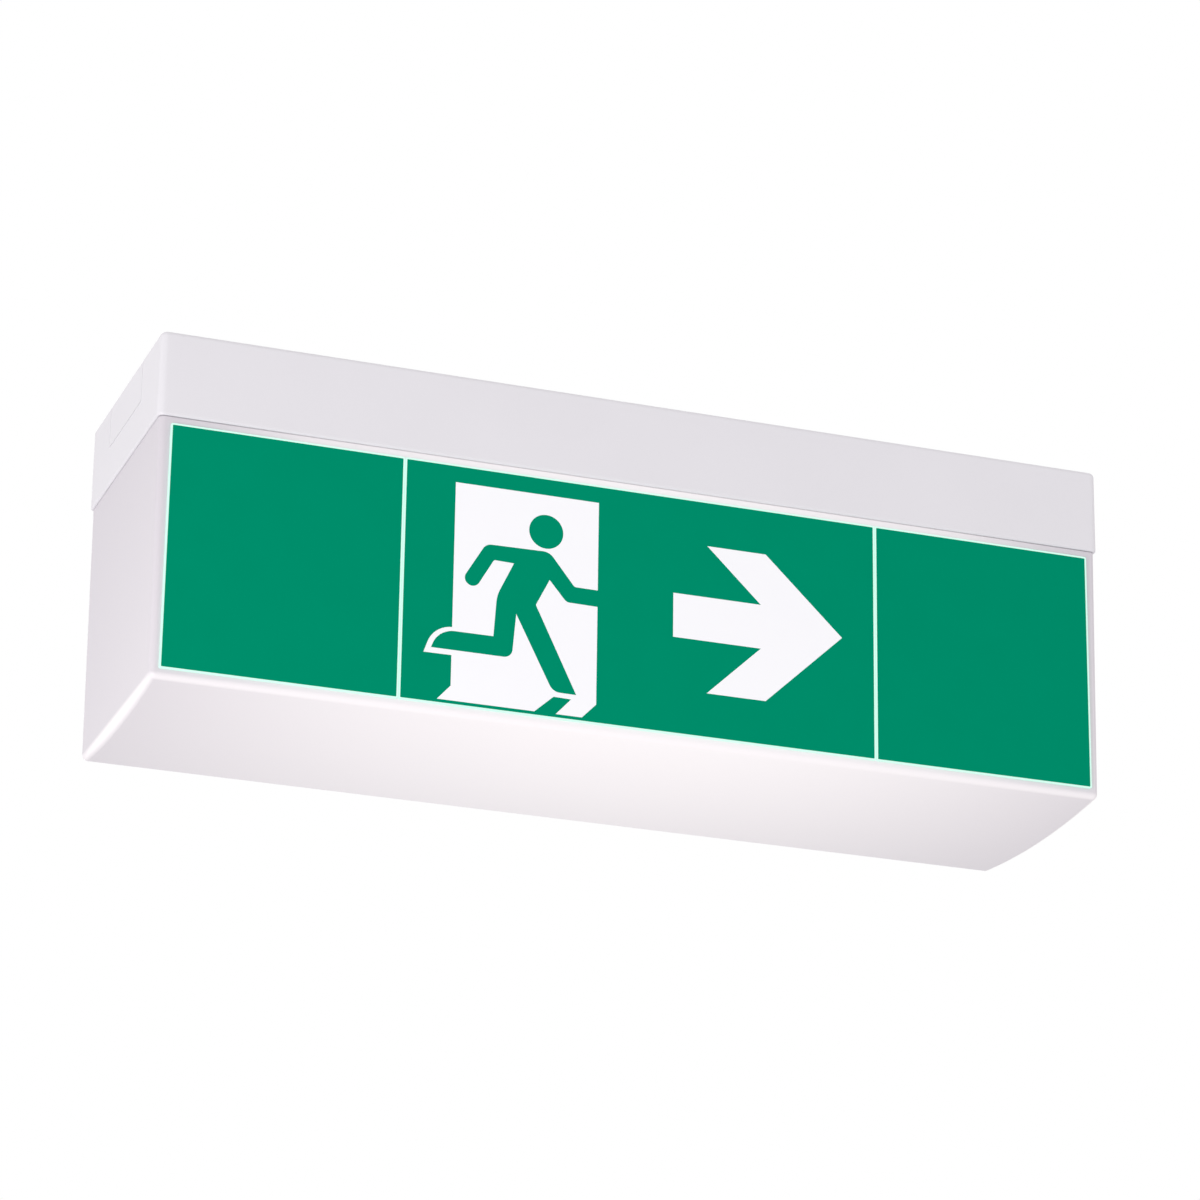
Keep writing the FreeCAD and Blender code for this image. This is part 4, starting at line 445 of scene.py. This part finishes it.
# --- Driver board ------------------------------------------------------------------------------------
# Glass-epoxy board with a green solder mask on nylon stand-offs. It charges the battery and feeds the
# LEDs. The large parts stand on its back, small ones and the solder joints are on the side towards
# the tray.
# Dipped green mask over etched copper: glossy dark green, paler and a little raised on the tracks.
# They run in square loops, which are drawn coarser than real tracks so that they show.
board, tree, shader, place = start_material("green_solder_mask", "#1E6B3C", 0.3)
loop_spacing, track, track_edge = 13 * MM, 0.09, 0.01
cells = add_node(
    tree, "ShaderNodeTexVoronoi", {"Vector": place, "Scale": 1 / loop_spacing}, distance="CHEBYCHEV",
)
turn = add_node(tree, "ShaderNodeMath", {0: cells.outputs["Distance"], 1: track}, operation="PINGPONG")
copper = add_node(
    tree, "ShaderNodeMapRange",
    {"Value": turn, "From Min": track / 2 - track_edge, "From Max": track / 2},
)
tint = add_node(
    tree, "ShaderNodeMix", {"Factor": copper, "A": srgb("#1A6036"), "B": srgb("#257644")}, data_type="RGBA",
)
step = add_node(tree, "ShaderNodeBump", {"Height": copper, "Distance": 0.05 * MM})
tree.links.new(tint.outputs[2], shader.inputs["Base Color"])
tree.links.new(step.outputs[0], shader.inputs["Normal"])
coat(board, "driver_board", "indicator_board")
coat(nylon, "board_standoffs", "driver_headers")

# Sintered ferrite: charcoal, matt and stony, with a speckle of grains and pores.
ferrite, tree, shader, place = start_material("sintered_ferrite", "#3A3A3D", 0.55)
grains = add_node(tree, "ShaderNodeTexVoronoi", {"Vector": place, "Scale": 1 / (0.6 * MM)})
tint = add_node(
    tree, "ShaderNodeMix", {"Factor": grains.outputs["Color"], "A": srgb("#333336"), "B": srgb("#47474B")},
    data_type="RGBA",
)
pores = add_node(tree, "ShaderNodeBump", {"Height": grains, "Distance": 0.03 * MM})
tree.links.new(tint.outputs[2], shader.inputs["Base Color"])
tree.links.new(pores.outputs[0], shader.inputs["Normal"])
coat(ferrite, "transformer_core")

# Polyester tape in overlapping turns: glossy amber, darker where it lies double.
tape, tree, shader, place = start_material("polyester_tape", "#E2B93A", 0.25)
layers = add_node(
    tree, "ShaderNodeTexWave", {"Vector": place, "Scale": 1 / (9 * MM), "Distortion": 0.6},
    bands_direction="Z",
)
lap = add_node(tree, "ShaderNodeBump", {"Height": layers.outputs["Fac"], "Distance": 0.08 * MM})
tint = add_node(
    tree, "ShaderNodeMix", {"Factor": layers.outputs["Fac"], "A": srgb("#D9AC2C"), "B": srgb("#E9C44D")},
    data_type="RGBA",
)
tree.links.new(tint.outputs[2], shader.inputs["Base Color"])
tree.links.new(lap.outputs[0], shader.inputs["Normal"])
coat(tape, "transformer_winding")


def shrink_sleeve(name, colour, stripe, period, share):
    """Heat-shrunk PVC: glossy and tight, with fine wrinkles and paler stripes (period in mm) along it."""
    material, tree, shader, place = start_material(name, colour, 0.28, Coat_Weight=0.3, Coat_Roughness=0.15)
    bands = add_node(tree, "ShaderNodeSeparateXYZ", {"Vector": place})
    turn = add_node(tree, "ShaderNodeMath", {0: bands.outputs["Y"], 1: period * MM}, operation="PINGPONG")
    pale = add_node(tree, "ShaderNodeMath", {0: turn, 1: share * period * MM}, operation="LESS_THAN")
    tint = add_node(
        tree, "ShaderNodeMix", {"Factor": pale, "A": srgb(colour), "B": srgb(stripe)}, data_type="RGBA",
    )
    wrinkles = add_node(
        tree, "ShaderNodeTexNoise",
        {"Vector": place, "Scale": 1 / (2.5 * MM), "Detail": 4.0, "Distortion": 1.2},
    )
    skin = add_node(tree, "ShaderNodeBump", {"Height": wrinkles, "Distance": 0.08 * MM})
    tree.links.new(tint.outputs[2], shader.inputs["Base Color"])
    tree.links.new(skin.outputs[0], shader.inputs["Normal"])
    return material


coat(shrink_sleeve("capacitor_sleeve", "#1D2A4D", "#B9C0CC", 9.0, 0.12), "capacitors")
# Glass-filled polyester: even black with a low sheen.
polyester = moulded_plastic("black_polyester", "#2A2A2C", "#232325", roughness=0.4, grain=0.4)
coat(polyester, "relay", "key_switch")
# Dipped epoxy and phenolic: thick coats that look wet and gently lumpy, the blue one a little duller.
epoxy = moulded_plastic(
    "dipped_epoxy", "#C98F2B", "#B97F1F", roughness=0.22, grain=2.5, depth=0.06, Coat_Weight=0.4,
)
coat(epoxy, "film_capacitor")
phenolic = moulded_plastic(
    "dipped_phenolic", "#2F62A5", "#28578F", roughness=0.3, grain=1.8, depth=0.05, Coat_Weight=0.3,
)
coat(phenolic, "varistor")
coat(shrink_sleeve("choke_sleeve", "#232326", "#2E2E32", 6.0, 0.3), "choke")


def solder_on_points(tree, given):
    """A blunt cone of solder round a pin's end, pointing down, on every point."""
    cone = add_node(
        tree, "GeometryNodeMeshCone",
        {"Vertices": 14, "Side Segments": 3, "Radius Top": given["Pin"], "Radius Bottom": given["Pad"],
         "Depth": given["Height"]},
    )
    points = add_node(tree, "GeometryNodeMeshToPoints", {"Mesh": given["Geometry"]})
    down = (math.pi, 0, 0)
    return add_node(
        tree, "GeometryNodeInstanceOnPoints",
        {"Points": points, "Instance": cone.outputs["Mesh"], "Rotation": down},
    )


# Tin solder: bright, and slightly frosted where it froze.
solder = bright_metal("tin_solder", "#C4C7C9", 0.28, 1.0, depth=0.02)
board_low, board_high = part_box("driver_board")
pin_spread = 0.3
pins = [
    (middle.x + across * size.x * pin_spread, middle.y + along * size.y * pin_spread, board_low.z)
    for part in ("driver_headers", "transformer_winding", "capacitors", "relay", "film_capacitor")
    for middle, size in middles(part)
    for across in (-1, 1) for along in (-1, 0, 1)
]
grow(
    "solder_joints", "base", solder,
    {"Pin": 0.35 * MM, "Pad": 1.1 * MM, "Height": 1.1 * MM}, solder_on_points, pins,
)


def chips_on_plate(tree, given):
    """Small flat parts strewn over a plate, square to it, with a fixed seed."""
    tries_per_square_metre = 9000.0
    plate = add_node(tree, "GeometryNodeMeshGrid", {"Size X": given["Length"], "Size Y": given["Width"]})
    spread = add_node(
        tree, "GeometryNodeDistributePointsOnFaces",
        {"Mesh": plate.outputs["Mesh"], "Distance Min": given["Spacing"],
         "Density Max": tries_per_square_metre, "Seed": given["Seed"]},
        distribute_method="POISSON",
    )
    body = add_node(tree, "GeometryNodeMeshCube", {"Size": given["Chip"]})
    turn = add_node(
        tree, "FunctionNodeRandomValue", {"Min": 0, "Max": 1, "Seed": given["Seed"]}, data_type="INT",
    )
    quarter = add_node(tree, "ShaderNodeMath", {0: turn, 1: math.pi / 2}, operation="MULTIPLY")
    square = add_node(tree, "ShaderNodeCombineXYZ", {"Z": quarter})
    placed = add_node(
        tree, "GeometryNodeInstanceOnPoints",
        {"Points": spread.outputs["Points"], "Instance": body.outputs["Mesh"], "Rotation": square},
    )
    return add_node(tree, "GeometryNodeTransform", {"Geometry": placed, "Translation": given["Place"]})


# Fired ceramic: even in colour, smooth and sharp-edged. Each kind: its finish and colour, its length,
# width and height, its spacing, and how far behind the board's middle it lies (mm), and its seed.
surface_parts = (
    ("chip_resistors", "fired_ceramic", "#2E2E30", (2.0, 1.25, 0.5), 7.0, -9, 4),
    ("chip_capacitors", "buff_ceramic", "#B59A74", (2.0, 1.25, 0.9), 10.0, 18, 7),
)
strewn_length, strewn_width = 84 * MM, 20 * MM
board_middle = (board_low + board_high) / 2
for name, finish, colour, chip, spacing, behind, seed in surface_parts:
    ceramic = moulded_plastic(finish, colour, colour, roughness=0.35, grain=0.2, depth=0.01)
    grow(
        name, "base", ceramic,
        {"Length": strewn_length, "Width": strewn_width, "Spacing": spacing * MM, "Seed": seed,
         "Chip": tuple(side * MM for side in chip),
         "Place": (board_middle.x, board_middle.y + behind * MM, board_low.z - chip[2] * MM / 2)},
        chips_on_plate,
    )


# --- Battery -----------------------------------------------------------------------------------------
# Three nickel cells end to end in one blue shrink sleeve, which draws in at the joints. Two snap rings
# of unfilled polyamide hold the stick to the tray.
coat(shrink_sleeve("battery_sleeve", "#2B5FA6", "#3568AE", 30.0, 0.2), "battery_pack")
# Unfilled polyamide: smooth cream with a slight gloss.
coat(moulded_plastic("unfilled_polyamide", "#E4E1D5", "#DAD6C7", roughness=0.4), "battery_clips")


def domed_heads(tree, given, *sockets):
    """A low dome, flat underneath, with sockets sunk into its top, on every point."""
    ball = add_node(
        tree, "GeometryNodeMeshUVSphere", {"Segments": 24, "Rings": 12, "Radius": given["Radius"]},
    )
    dome = add_node(tree, "GeometryNodeTransform", {"Geometry": ball, "Scale": given["Flatten"]})
    block = add_node(tree, "GeometryNodeMeshCube", {"Size": given["Block"]})
    drop = add_node(tree, "ShaderNodeVectorMath", {0: given["Block"], 1: (0, 0, -0.5)}, operation="MULTIPLY")
    under = add_node(tree, "GeometryNodeTransform", {"Geometry": block.outputs["Mesh"], "Translation": drop})
    cut = add_node(tree, "GeometryNodeMeshBoolean", {"Mesh 1": dome}, operation="DIFFERENCE")
    for taken in (under, *sockets):
        tree.links.new(taken.outputs[0], cut.inputs["Mesh 2"])
    points = add_node(tree, "GeometryNodeMeshToPoints", {"Mesh": given["Geometry"]})
    return add_node(
        tree, "GeometryNodeInstanceOnPoints",
        {"Points": points, "Instance": cut.outputs["Mesh"], "Rotation": given["Turn"]},
    )


def cross_heads(tree, given):
    """Pan heads with a cross recess."""
    bar = add_node(tree, "GeometryNodeMeshCube", {"Size": given["Bar"]})
    top = add_node(
        tree, "GeometryNodeTransform", {"Geometry": bar.outputs["Mesh"], "Translation": given["Top"]},
    )
    quarter = (0, 0, math.pi / 2)
    across = add_node(tree, "GeometryNodeTransform", {"Geometry": top, "Rotation": quarter})
    return domed_heads(tree, given, top, across)


foot_wall, foot_inset = 1.6 * MM, 4.5 * MM
tray_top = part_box("battery_clips")[0].z
feet = [
    (middle.x, middle.y + side * (size.y / 2 - foot_inset), tray_top + foot_wall)
    for middle, size in middles("battery_clips") for side in (-1, 1)
]
grow(
    "clip_screws", "base", zinc,
    {"Radius": 2.7 * MM, "Flatten": (1.0, 1.0, 0.6), "Block": (8 * MM, 8 * MM, 4 * MM),
     "Bar": (3.4 * MM, 0.7 * MM, 2.0 * MM), "Top": (0.0, 0.0, 1.7 * MM), "Turn": (0.0, 0.0, 0.4)},
    cross_heads, feet,
)


# --- Leads, plugs and earth tag ----------------------------------------------------------------------
# Single-core PVC leads run from the terminals, the battery and the LED boards to crimp housings of
# nylon on the driver board. The green-and-yellow one ends in a tinned tag that is riveted to the tray.
coat(nylon, "lead_plugs")
# Extruded PVC: even in colour, with a waxy sheen and a faintly wavy skin.
insulation = (
    ("white_pvc", "#E9E8E4", "#DEDCD6", ("led_lead_left", "led_lead_right")),
    ("black_pvc", "#222225", "#2C2C30", ("battery_lead_black",)),
    ("red_pvc", "#B4242A", "#A31D24", ("battery_lead_red",)),
    ("brown_pvc", "#63402A", "#573722", ("supply_lead_brown",)),
    ("blue_pvc", "#2B5CA8", "#25519A", ("supply_lead_blue",)),
    ("grey_pvc", "#8E9094", "#828489", ("indicator_lead",)),
)
for name, colour, shade, leads in insulation:
    coat(moulded_plastic(name, colour, shade, roughness=0.38, grain=1.1, depth=0.02), *leads)

# The same PVC in two colours side by side, so that one flank of the lead is yellow.
striped, tree, shader, place = start_material("green_yellow_pvc", "#4FA03A", 0.38)
yellow_flank = (0.62, -0.72, 0.3)
facing = add_node(tree, "ShaderNodeTexCoord").outputs["Normal"]
turned = add_node(tree, "ShaderNodeVectorMath", {0: facing, 1: yellow_flank}, operation="DOT_PRODUCT")
yellow_side = add_node(tree, "ShaderNodeMath", {0: turned.outputs["Value"], 1: 0.1}, operation="GREATER_THAN")
tint = add_node(
    tree, "ShaderNodeMix", {"Factor": yellow_side, "A": srgb("#3C9A3E"), "B": srgb("#E6D22E")},
    data_type="RGBA",
)
smudge = add_node(tree, "ShaderNodeTexNoise", {"Vector": place, "Scale": 1 / (1.1 * MM)})
skin = add_node(tree, "ShaderNodeBump", {"Height": smudge, "Distance": 0.02 * MM})
tree.links.new(tint.outputs[2], shader.inputs["Base Color"])
tree.links.new(skin.outputs[0], shader.inputs["Normal"])
coat(striped, "earth_lead")
coat(tinned_brass, "earth_tab")


def blind_rivets(tree, given):
    """Low domes with the socket that a broken-off stem leaves."""
    stem = add_node(
        tree, "GeometryNodeMeshCylinder", {"Vertices": 16, "Radius": given["Stem"], "Depth": given["Socket"]},
    )
    top = add_node(
        tree, "GeometryNodeTransform", {"Geometry": stem.outputs["Mesh"], "Translation": given["Top"]},
    )
    return domed_heads(tree, given, top)


rivet_sizes = {
    "Radius": 2.2 * MM, "Flatten": (1.0, 1.0, 0.45), "Block": (8 * MM, 8 * MM, 4 * MM),
    "Stem": 0.7 * MM, "Socket": 1.0 * MM, "Top": (0.0, 0.0, 1.0 * MM),
}
tab_sheet, ring_inset = 0.8 * MM, 4.6 * MM
tab_low, tab_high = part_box("earth_tab")
ring = (tab_low.x + ring_inset, (tab_low.y + tab_high.y) / 2, tab_low.z + tab_sheet)
# Drawn aluminium: pale grey and softly bright.
aluminium = bright_metal("drawn_aluminium", "#D3D5D7", 0.35, 0.6)
grow("earth_rivet", "base", aluminium, {**rivet_sizes, "Turn": (0.0, 0.0, 0.0)}, blind_rivets, [ring])


# --- Button, lens and indicator ----------------------------------------------------------------------
# The test button of dark grey acetal and the clear light pipe of the charge lamp look out of the right
# end. Behind them a small board stands in two guides and carries the key switch.
# Acetal: smooth dark grey, faintly waxy.
acetal = moulded_plastic("dark_acetal", "#5A5C61", "#53555A", roughness=0.35, grain=0.4, depth=0.015)
coat(acetal, "test_button")
# Tempered spring steel: hard and bright, streaked along the way it was rolled.
steel = bright_metal("spring_steel", "#BFC1C5", 0.25, 0.5, stretch=(0.2, 1, 1))
coat(steel, "button_spring")


def coils_on_points(tree, given):
    """A coil spring that runs along X from every point."""
    helix = add_node(
        tree, "GeometryNodeCurveSpiral",
        {"Resolution": 24, "Rotations": given["Turns"], "Start Radius": given["Radius"],
         "End Radius": given["Radius"], "Height": given["Length"]},
    )
    wire = add_node(tree, "GeometryNodeCurvePrimitiveCircle", {"Resolution": 8, "Radius": given["Wire"]})
    coil = add_node(
        tree, "GeometryNodeCurveToMesh", {"Curve": helix, "Profile Curve": wire, "Fill Caps": True},
    )
    points = add_node(tree, "GeometryNodeMeshToPoints", {"Mesh": given["Geometry"]})
    lying = (0, math.pi / 2, 0)
    return add_node(
        tree, "GeometryNodeInstanceOnPoints", {"Points": points, "Instance": coil, "Rotation": lying},
    )


spring_low, spring_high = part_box("button_spring")
spring_wire, button_travel = 0.4 * MM, 1.5 * MM
spring_length, spring_width = (spring_high - spring_low).x, (spring_high - spring_low).y
spring_middle = (spring_low + spring_high) / 2
spring_start = (spring_low.x + spring_wire, spring_middle.y, spring_middle.z)
coil = grow(
    "button_coil", "base", steel,
    {"Turns": 4.0, "Radius": spring_width / 2 - spring_wire, "Length": spring_length - 2 * spring_wire,
     "Wire": spring_wire},
    coils_on_points, [spring_start],
)
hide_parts("button_spring")
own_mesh(coil)
# Clear polycarbonate: glassy, with the green of the charge lamp in it.
pipe, tree, shader, place = start_material(
    "clear_polycarbonate", "#DDF3E2", 0.12, Transmission_Weight=0.6,
    Emission_Color=srgb("#5BE07A"), Emission_Strength=0.15,
)
flow = add_node(tree, "ShaderNodeTexNoise", {"Vector": place, "Scale": 1 / (4 * MM)})
tint = add_node(
    tree, "ShaderNodeMix", {"Factor": flow, "A": srgb("#CDEFD6"), "B": srgb("#EAF8EC")}, data_type="RGBA",
)
tree.links.new(tint.outputs[2], shader.inputs["Base Color"])
coat(pipe, "status_lens")


# --- Cover clips -------------------------------------------------------------------------------------
# Four strips of tempered spring steel, riveted under the tray. The bead on each leg springs into a
# catch inside the diffuser's rim and holds it up.
coat(steel, "cover_clips")
rivet_inset, clip_strip = 4.5 * MM, 0.5 * MM
under_feet = [
    (middle.x, middle.y - math.copysign(size.y / 2 - rivet_inset, middle.y),
     middle.z + size.z / 2 - clip_strip)
    for middle, size in middles("cover_clips")
]
grow(
    "clip_rivets", "base", aluminium,
    {**rivet_sizes, "Turn": (math.pi, 0.0, 0.0)}, blind_rivets, under_feet,
)


# --- Diffuser ----------------------------------------------------------------------------------------
# A thin-walled box moulded in one piece of opal polycarbonate, with drafted ends and a bottom that bows
# down. Its rim snaps up into the base. It is satin, milky and faintly lilac. Its glow is painted light,
# set by place in place of the LEDs behind it: most in the middle and to the front, less towards its ends
# and rear. A painted highlight runs along its lower corners.
opal, tree, shader, place = start_material("opal_polycarbonate", "#D1CBD2", 0.4)
diffuser_low, diffuser_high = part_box("diffuser")
edge_radius, draft, bow = 2.5 * MM, 1.0 * MM, 3 * MM
lower_edge = diffuser_low.z + bow
light_reach = 241 * MM
glow_front, glow_front_end, glow_rear = 0.35, -50 * MM, 0.21
wall_share, wall_share_low_end, bottom_share = 0.82, 0.62, 0.98
ends_from, ends_to = 140 * MM, 195 * MM
painted_highlight_strength = 0.4
# Painted glow: the emission strength below is set by place, brightest in the middle and to the front.
along = add_node(tree, "ShaderNodeSeparateXYZ", {"Vector": place})
far_out = add_node(tree, "ShaderNodeMath", {0: along.outputs["X"]}, operation="ABSOLUTE")
out = add_node(tree, "ShaderNodeMath", {0: far_out, 1: 1 / light_reach}, operation="MULTIPLY")
squared = add_node(tree, "ShaderNodeMath", {0: out, 1: out}, operation="MULTIPLY")
painted_glow_along = add_node(tree, "ShaderNodeMath", {0: 1.0, 1: squared}, operation="SUBTRACT")
rearward = add_node(
    tree, "ShaderNodeMapRange",
    {"Value": along.outputs["Y"], "From Min": glow_front_end, "From Max": diffuser_high.y,
     "To Min": glow_front, "To Max": glow_rear},
)
near_end = add_node(
    tree, "ShaderNodeMapRange", {"Value": far_out, "From Min": ends_from, "From Max": ends_to},
)
downward = add_node(
    tree, "ShaderNodeMapRange",
    {"Value": along.outputs["Z"], "From Min": diffuser_high.z, "From Max": diffuser_low.z,
     "To Max": wall_share_low_end},
)
wall_level = add_node(tree, "ShaderNodeMix", {"Factor": near_end, "A": wall_share, "B": downward})
into_bottom = add_node(
    tree, "ShaderNodeMapRange",
    {"Value": along.outputs["Z"], "From Min": lower_edge + edge_radius, "From Max": lower_edge},
)
level = add_node(tree, "ShaderNodeMix", {"Factor": into_bottom, "A": wall_level, "B": bottom_share})
reaching = add_node(tree, "ShaderNodeMath", {0: painted_glow_along, 1: rearward}, operation="MULTIPLY")
painted_glow = add_node(tree, "ShaderNodeMath", {0: reaching, 1: level}, operation="MULTIPLY")
depth = add_node(tree, "ShaderNodeMath", {0: along.outputs["Y"]}, operation="ABSOLUTE")
into_side = add_node(
    tree, "ShaderNodeMapRange",
    {"Value": depth, "From Min": diffuser_high.y - edge_radius, "From Max": diffuser_high.y},
)
end_face = diffuser_high.x - draft
into_end = add_node(
    tree, "ShaderNodeMapRange", {"Value": far_out, "From Min": end_face - edge_radius, "From Max": end_face},
)
outer_wall = add_node(tree, "ShaderNodeMath", {0: into_side, 1: into_end}, operation="MAXIMUM")
rounding = add_node(tree, "ShaderNodeMath", {0: outer_wall, 1: into_bottom}, operation="MULTIPLY")
# Painted highlight: extra emission on the rounded lower edges, stronger towards the ends.
painted_highlight_mask = add_node(tree, "ShaderNodeMath", {0: rounding, 1: squared}, operation="MULTIPLY")
painted_highlight = add_node(tree, "ShaderNodeMath", {0: painted_highlight_mask, 1: painted_highlight_strength}, operation="MULTIPLY")
strength = add_node(tree, "ShaderNodeMath", {0: painted_glow, 1: painted_highlight}, operation="ADD")
tree.links.new(strength.outputs[0], shader.inputs["Emission Strength"])
shader.inputs["Emission Color"].default_value = srgb("#FFFDF3")
satin = add_node(tree, "ShaderNodeTexNoise", {"Vector": place, "Scale": 1 / (0.7 * MM), "Detail": 2.0})
skin = add_node(tree, "ShaderNodeBump", {"Height": satin, "Distance": 0.015 * MM})
sheen = add_node(tree, "ShaderNodeMapRange", {"Value": satin, "To Min": 0.36, "To Max": 0.46})
tree.links.new(sheen.outputs[0], shader.inputs["Roughness"])
tree.links.new(skin.outputs[0], shader.inputs["Normal"])
coat(opal, "diffuser")


# --- Sign plates and their print ---------------------------------------------------------------------
# Three acrylic plates on the diffuser's front, lit through from behind. Green ink covers each to a
# fine rim, and leaves out the doorway with the running figure and the arrow, which are printed white.
# Cast acrylic: glossy, and a pale mint at the bare rim that glows with painted light, with a haze that drifts
# over 25 mm or so.
acrylic, tree, shader, place = start_material(
    "lit_acrylic", "#CFF8E9", 0.2, Emission_Color=srgb("#C4FFE8"), Emission_Strength=0.12,
)
haze = add_node(tree, "ShaderNodeTexNoise", {"Vector": place, "Scale": 1 / (25 * MM)})
tint = add_node(
    tree, "ShaderNodeMix", {"Factor": haze, "A": srgb("#CBF6E6"), "B": srgb("#D3FAEC")}, data_type="RGBA",
)
tree.links.new(tint.outputs[2], shader.inputs["Base Color"])
coat(acrylic, "legend_left", "legend_centre", "legend_right")


def screen_ink(name, colour, shade, gloss, painted_glow):
    """Screen-printed ink: even and flat, with a faint mottle and the tooth that the mesh leaves.

    The tooth is drawn coarser than a real mesh, so that it shows.
    """
    # The ink's faint emission is painted glow, in place of light from behind the plate.
    material, tree, shader, place = start_material(
        name, colour, 0.5, Specular_IOR_Level=gloss, Emission_Color=srgb(colour), Emission_Strength=painted_glow,
    )
    mottle = add_node(tree, "ShaderNodeTexNoise", {"Vector": place, "Scale": 1 / (18 * MM), "Detail": 4.0})
    tint = add_node(
        tree, "ShaderNodeMix", {"Factor": mottle, "A": srgb(colour), "B": srgb(shade)}, data_type="RGBA",
    )
    tooth = add_node(tree, "ShaderNodeTexNoise", {"Vector": place, "Scale": 1 / (0.4 * MM)})
    skin = add_node(tree, "ShaderNodeBump", {"Height": tooth, "Distance": 0.004 * MM})
    tree.links.new(tint.outputs[2], shader.inputs["Base Color"])
    tree.links.new(skin.outputs[0], shader.inputs["Normal"])
    return material


# The green is deep and quite matt; the white is clean and slightly glossy. Both glow faintly with painted
# light.
green_ink = screen_ink("green_screen_ink", "#008B69", "#008866", 0.0, 0.02)
white_ink = screen_ink("white_screen_ink", "#F8F7FA", "#F6F5F9", 0.2, 0.02)
ink = 0.05 * MM
ink_rim = 0.75 * MM
sign_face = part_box("legend_centre")[0].y


facet = math.radians(8)


def rounded(corners):
    """Points of an outline whose corners are (x, y) or (x, y, radius), in mm."""
    points = []
    for index, (x, y, *radius) in enumerate(corners):
        corner = Vector((x, y))
        if not radius:
            points.append(corner)
            continue
        before = (Vector(corners[index - 1][:2]) - corner).normalized()
        after = (Vector(corners[(index + 1) % len(corners)][:2]) - corner).normalized()
        half = before.angle(after) / 2
        middle = corner + (before + after).normalized() * (radius[0] / math.sin(half))
        start = corner + before * (radius[0] / math.tan(half)) - middle
        sweep = (corner + after * (radius[0] / math.tan(half)) - middle).angle_signed(start)
        steps = max(2, math.ceil(abs(sweep) / facet))
        for step in range(steps + 1):
            turn = sweep * step / steps
            points.append(middle + Vector((
                start.x * math.cos(turn) - start.y * math.sin(turn),
                start.x * math.sin(turn) + start.y * math.cos(turn),
            )))
    return points


def round_dot(x, y, radius):
    """Points of a circle, in mm."""
    steps = 60
    turns = [math.tau * step / steps for step in range(steps)]
    return [Vector((x + radius * math.cos(turn), y + radius * math.sin(turn))) for turn in turns]


def print_film(name, plate, outlines, material):
    """A film of ink on a plate. Outlines nest: the second one inside the first is a gap, and so on."""
    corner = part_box(plate)[0]
    flat = bpy.data.curves.new(name, "CURVE")
    flat.dimensions = "2D"
    flat.fill_mode = "BOTH"
    flat.extrude = ink / 2
    for outline in outlines:
        line = flat.splines.new("POLY")
        line.points.add(len(outline) - 1)
        line.use_cyclic_u = True
        for point, place in zip(line.points, outline):
            point.co = (*(place * MM), 0, 1)
    drawn = bpy.data.objects.new(name, flat)
    mesh = bpy.data.meshes.new_from_object(drawn)
    bpy.data.objects.remove(drawn)
    film = bmesh.new()
    film.from_mesh(mesh)
    for vertex in film.verts:
        x, y, z = vertex.co
        vertex.co = (corner.x + ink_rim + x, sign_face - ink / 2 - z, corner.z + ink_rim + y)
    bmesh.ops.remove_doubles(film, verts=film.verts, dist=0.001 * MM)
    bmesh.ops.recalc_face_normals(film, faces=film.faces)
    film.to_mesh(mesh)
    film.free()
    return place_mesh(name, mesh, material, "cover")


def field(plate):
    """The outline of the green field of a plate, from its lower left corner, in mm."""
    corner = 0.3
    low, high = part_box(plate)
    width, height = ((high - low).x - 2 * ink_rim) / MM, ((high - low).z - 2 * ink_rim) / MM
    return rounded([(0, 0, corner), (width, 0, corner), (width, height, corner), (0, height, corner)])


# The doorway less the running figure, in mm from the field's lower left corner: from the top to the
# right arm, round the whole figure and back to that arm, along the foot and up past the rear shoe.
door_left, door_right, door_top, door_foot, floor_line = 20.4, 80.8, 93.2, 7.4, 1.3
doorway = rounded([
    (door_left, door_top), (door_right, door_top),
    (door_right, 55.6), (71.0, 55.7, 1.5), (60.2, 69.1, 5.5), (33.6, 68.7, 4), (23.9, 52.3, 3.2),
    (29.5, 49.1, 3.2), (37.1, 62.4, 1.2), (45.4, 62.1), (38.6, 47.6, 14), (37.5, 30.3), (14.9, 30.2, 9.5),
    (11.9, 22.3),
    (45.3, 22.3, 3.6), (46.8, 40.9), (62.6, 10.4, 5), (72.4, 10.3), (54.9, 45.9, 0.8), (60.5, 57.2),
    (67.7, 48.8, 3), (door_right, 48.6),
    (door_right, door_foot), (74.9, floor_line),
    (64.0, floor_line), (70.3, 8.2), (63.0, 8.4, 0.8), (55.1, floor_line),
    (14.9, floor_line), (door_left, door_foot), (door_left, 20.1), (8.9, 20.0), (12.9, 31.7, 11),
    (door_left, 31.8),
])
head = round_dot(58.7, 77.5, 7.2)
arrow_line, shaft, barb, shoulder = 49.8, 9.4, 31.5, 150.7
upper = [(113.0, shaft), (shoulder, shaft), (127.5, barb), (152.8, barb)]
arrow = [Vector((x, arrow_line + y)) for x, y in (*upper, (186.1, 0), *((x, -y) for x, y in reversed(upper)))]

for side in ("left", "right"):
    plate = f"legend_{side}"
    print_film(f"green_field_{side}", plate, [field(plate)], green_ink)
bare = (doorway, head, arrow)
print_film(
    "green_field_centre", "legend_centre", [field("legend_centre"), *bare], green_ink,
)
print_film("white_doorway", "legend_centre", [doorway, head], white_ink)
print_film("white_arrow", "legend_centre", [arrow], white_ink)
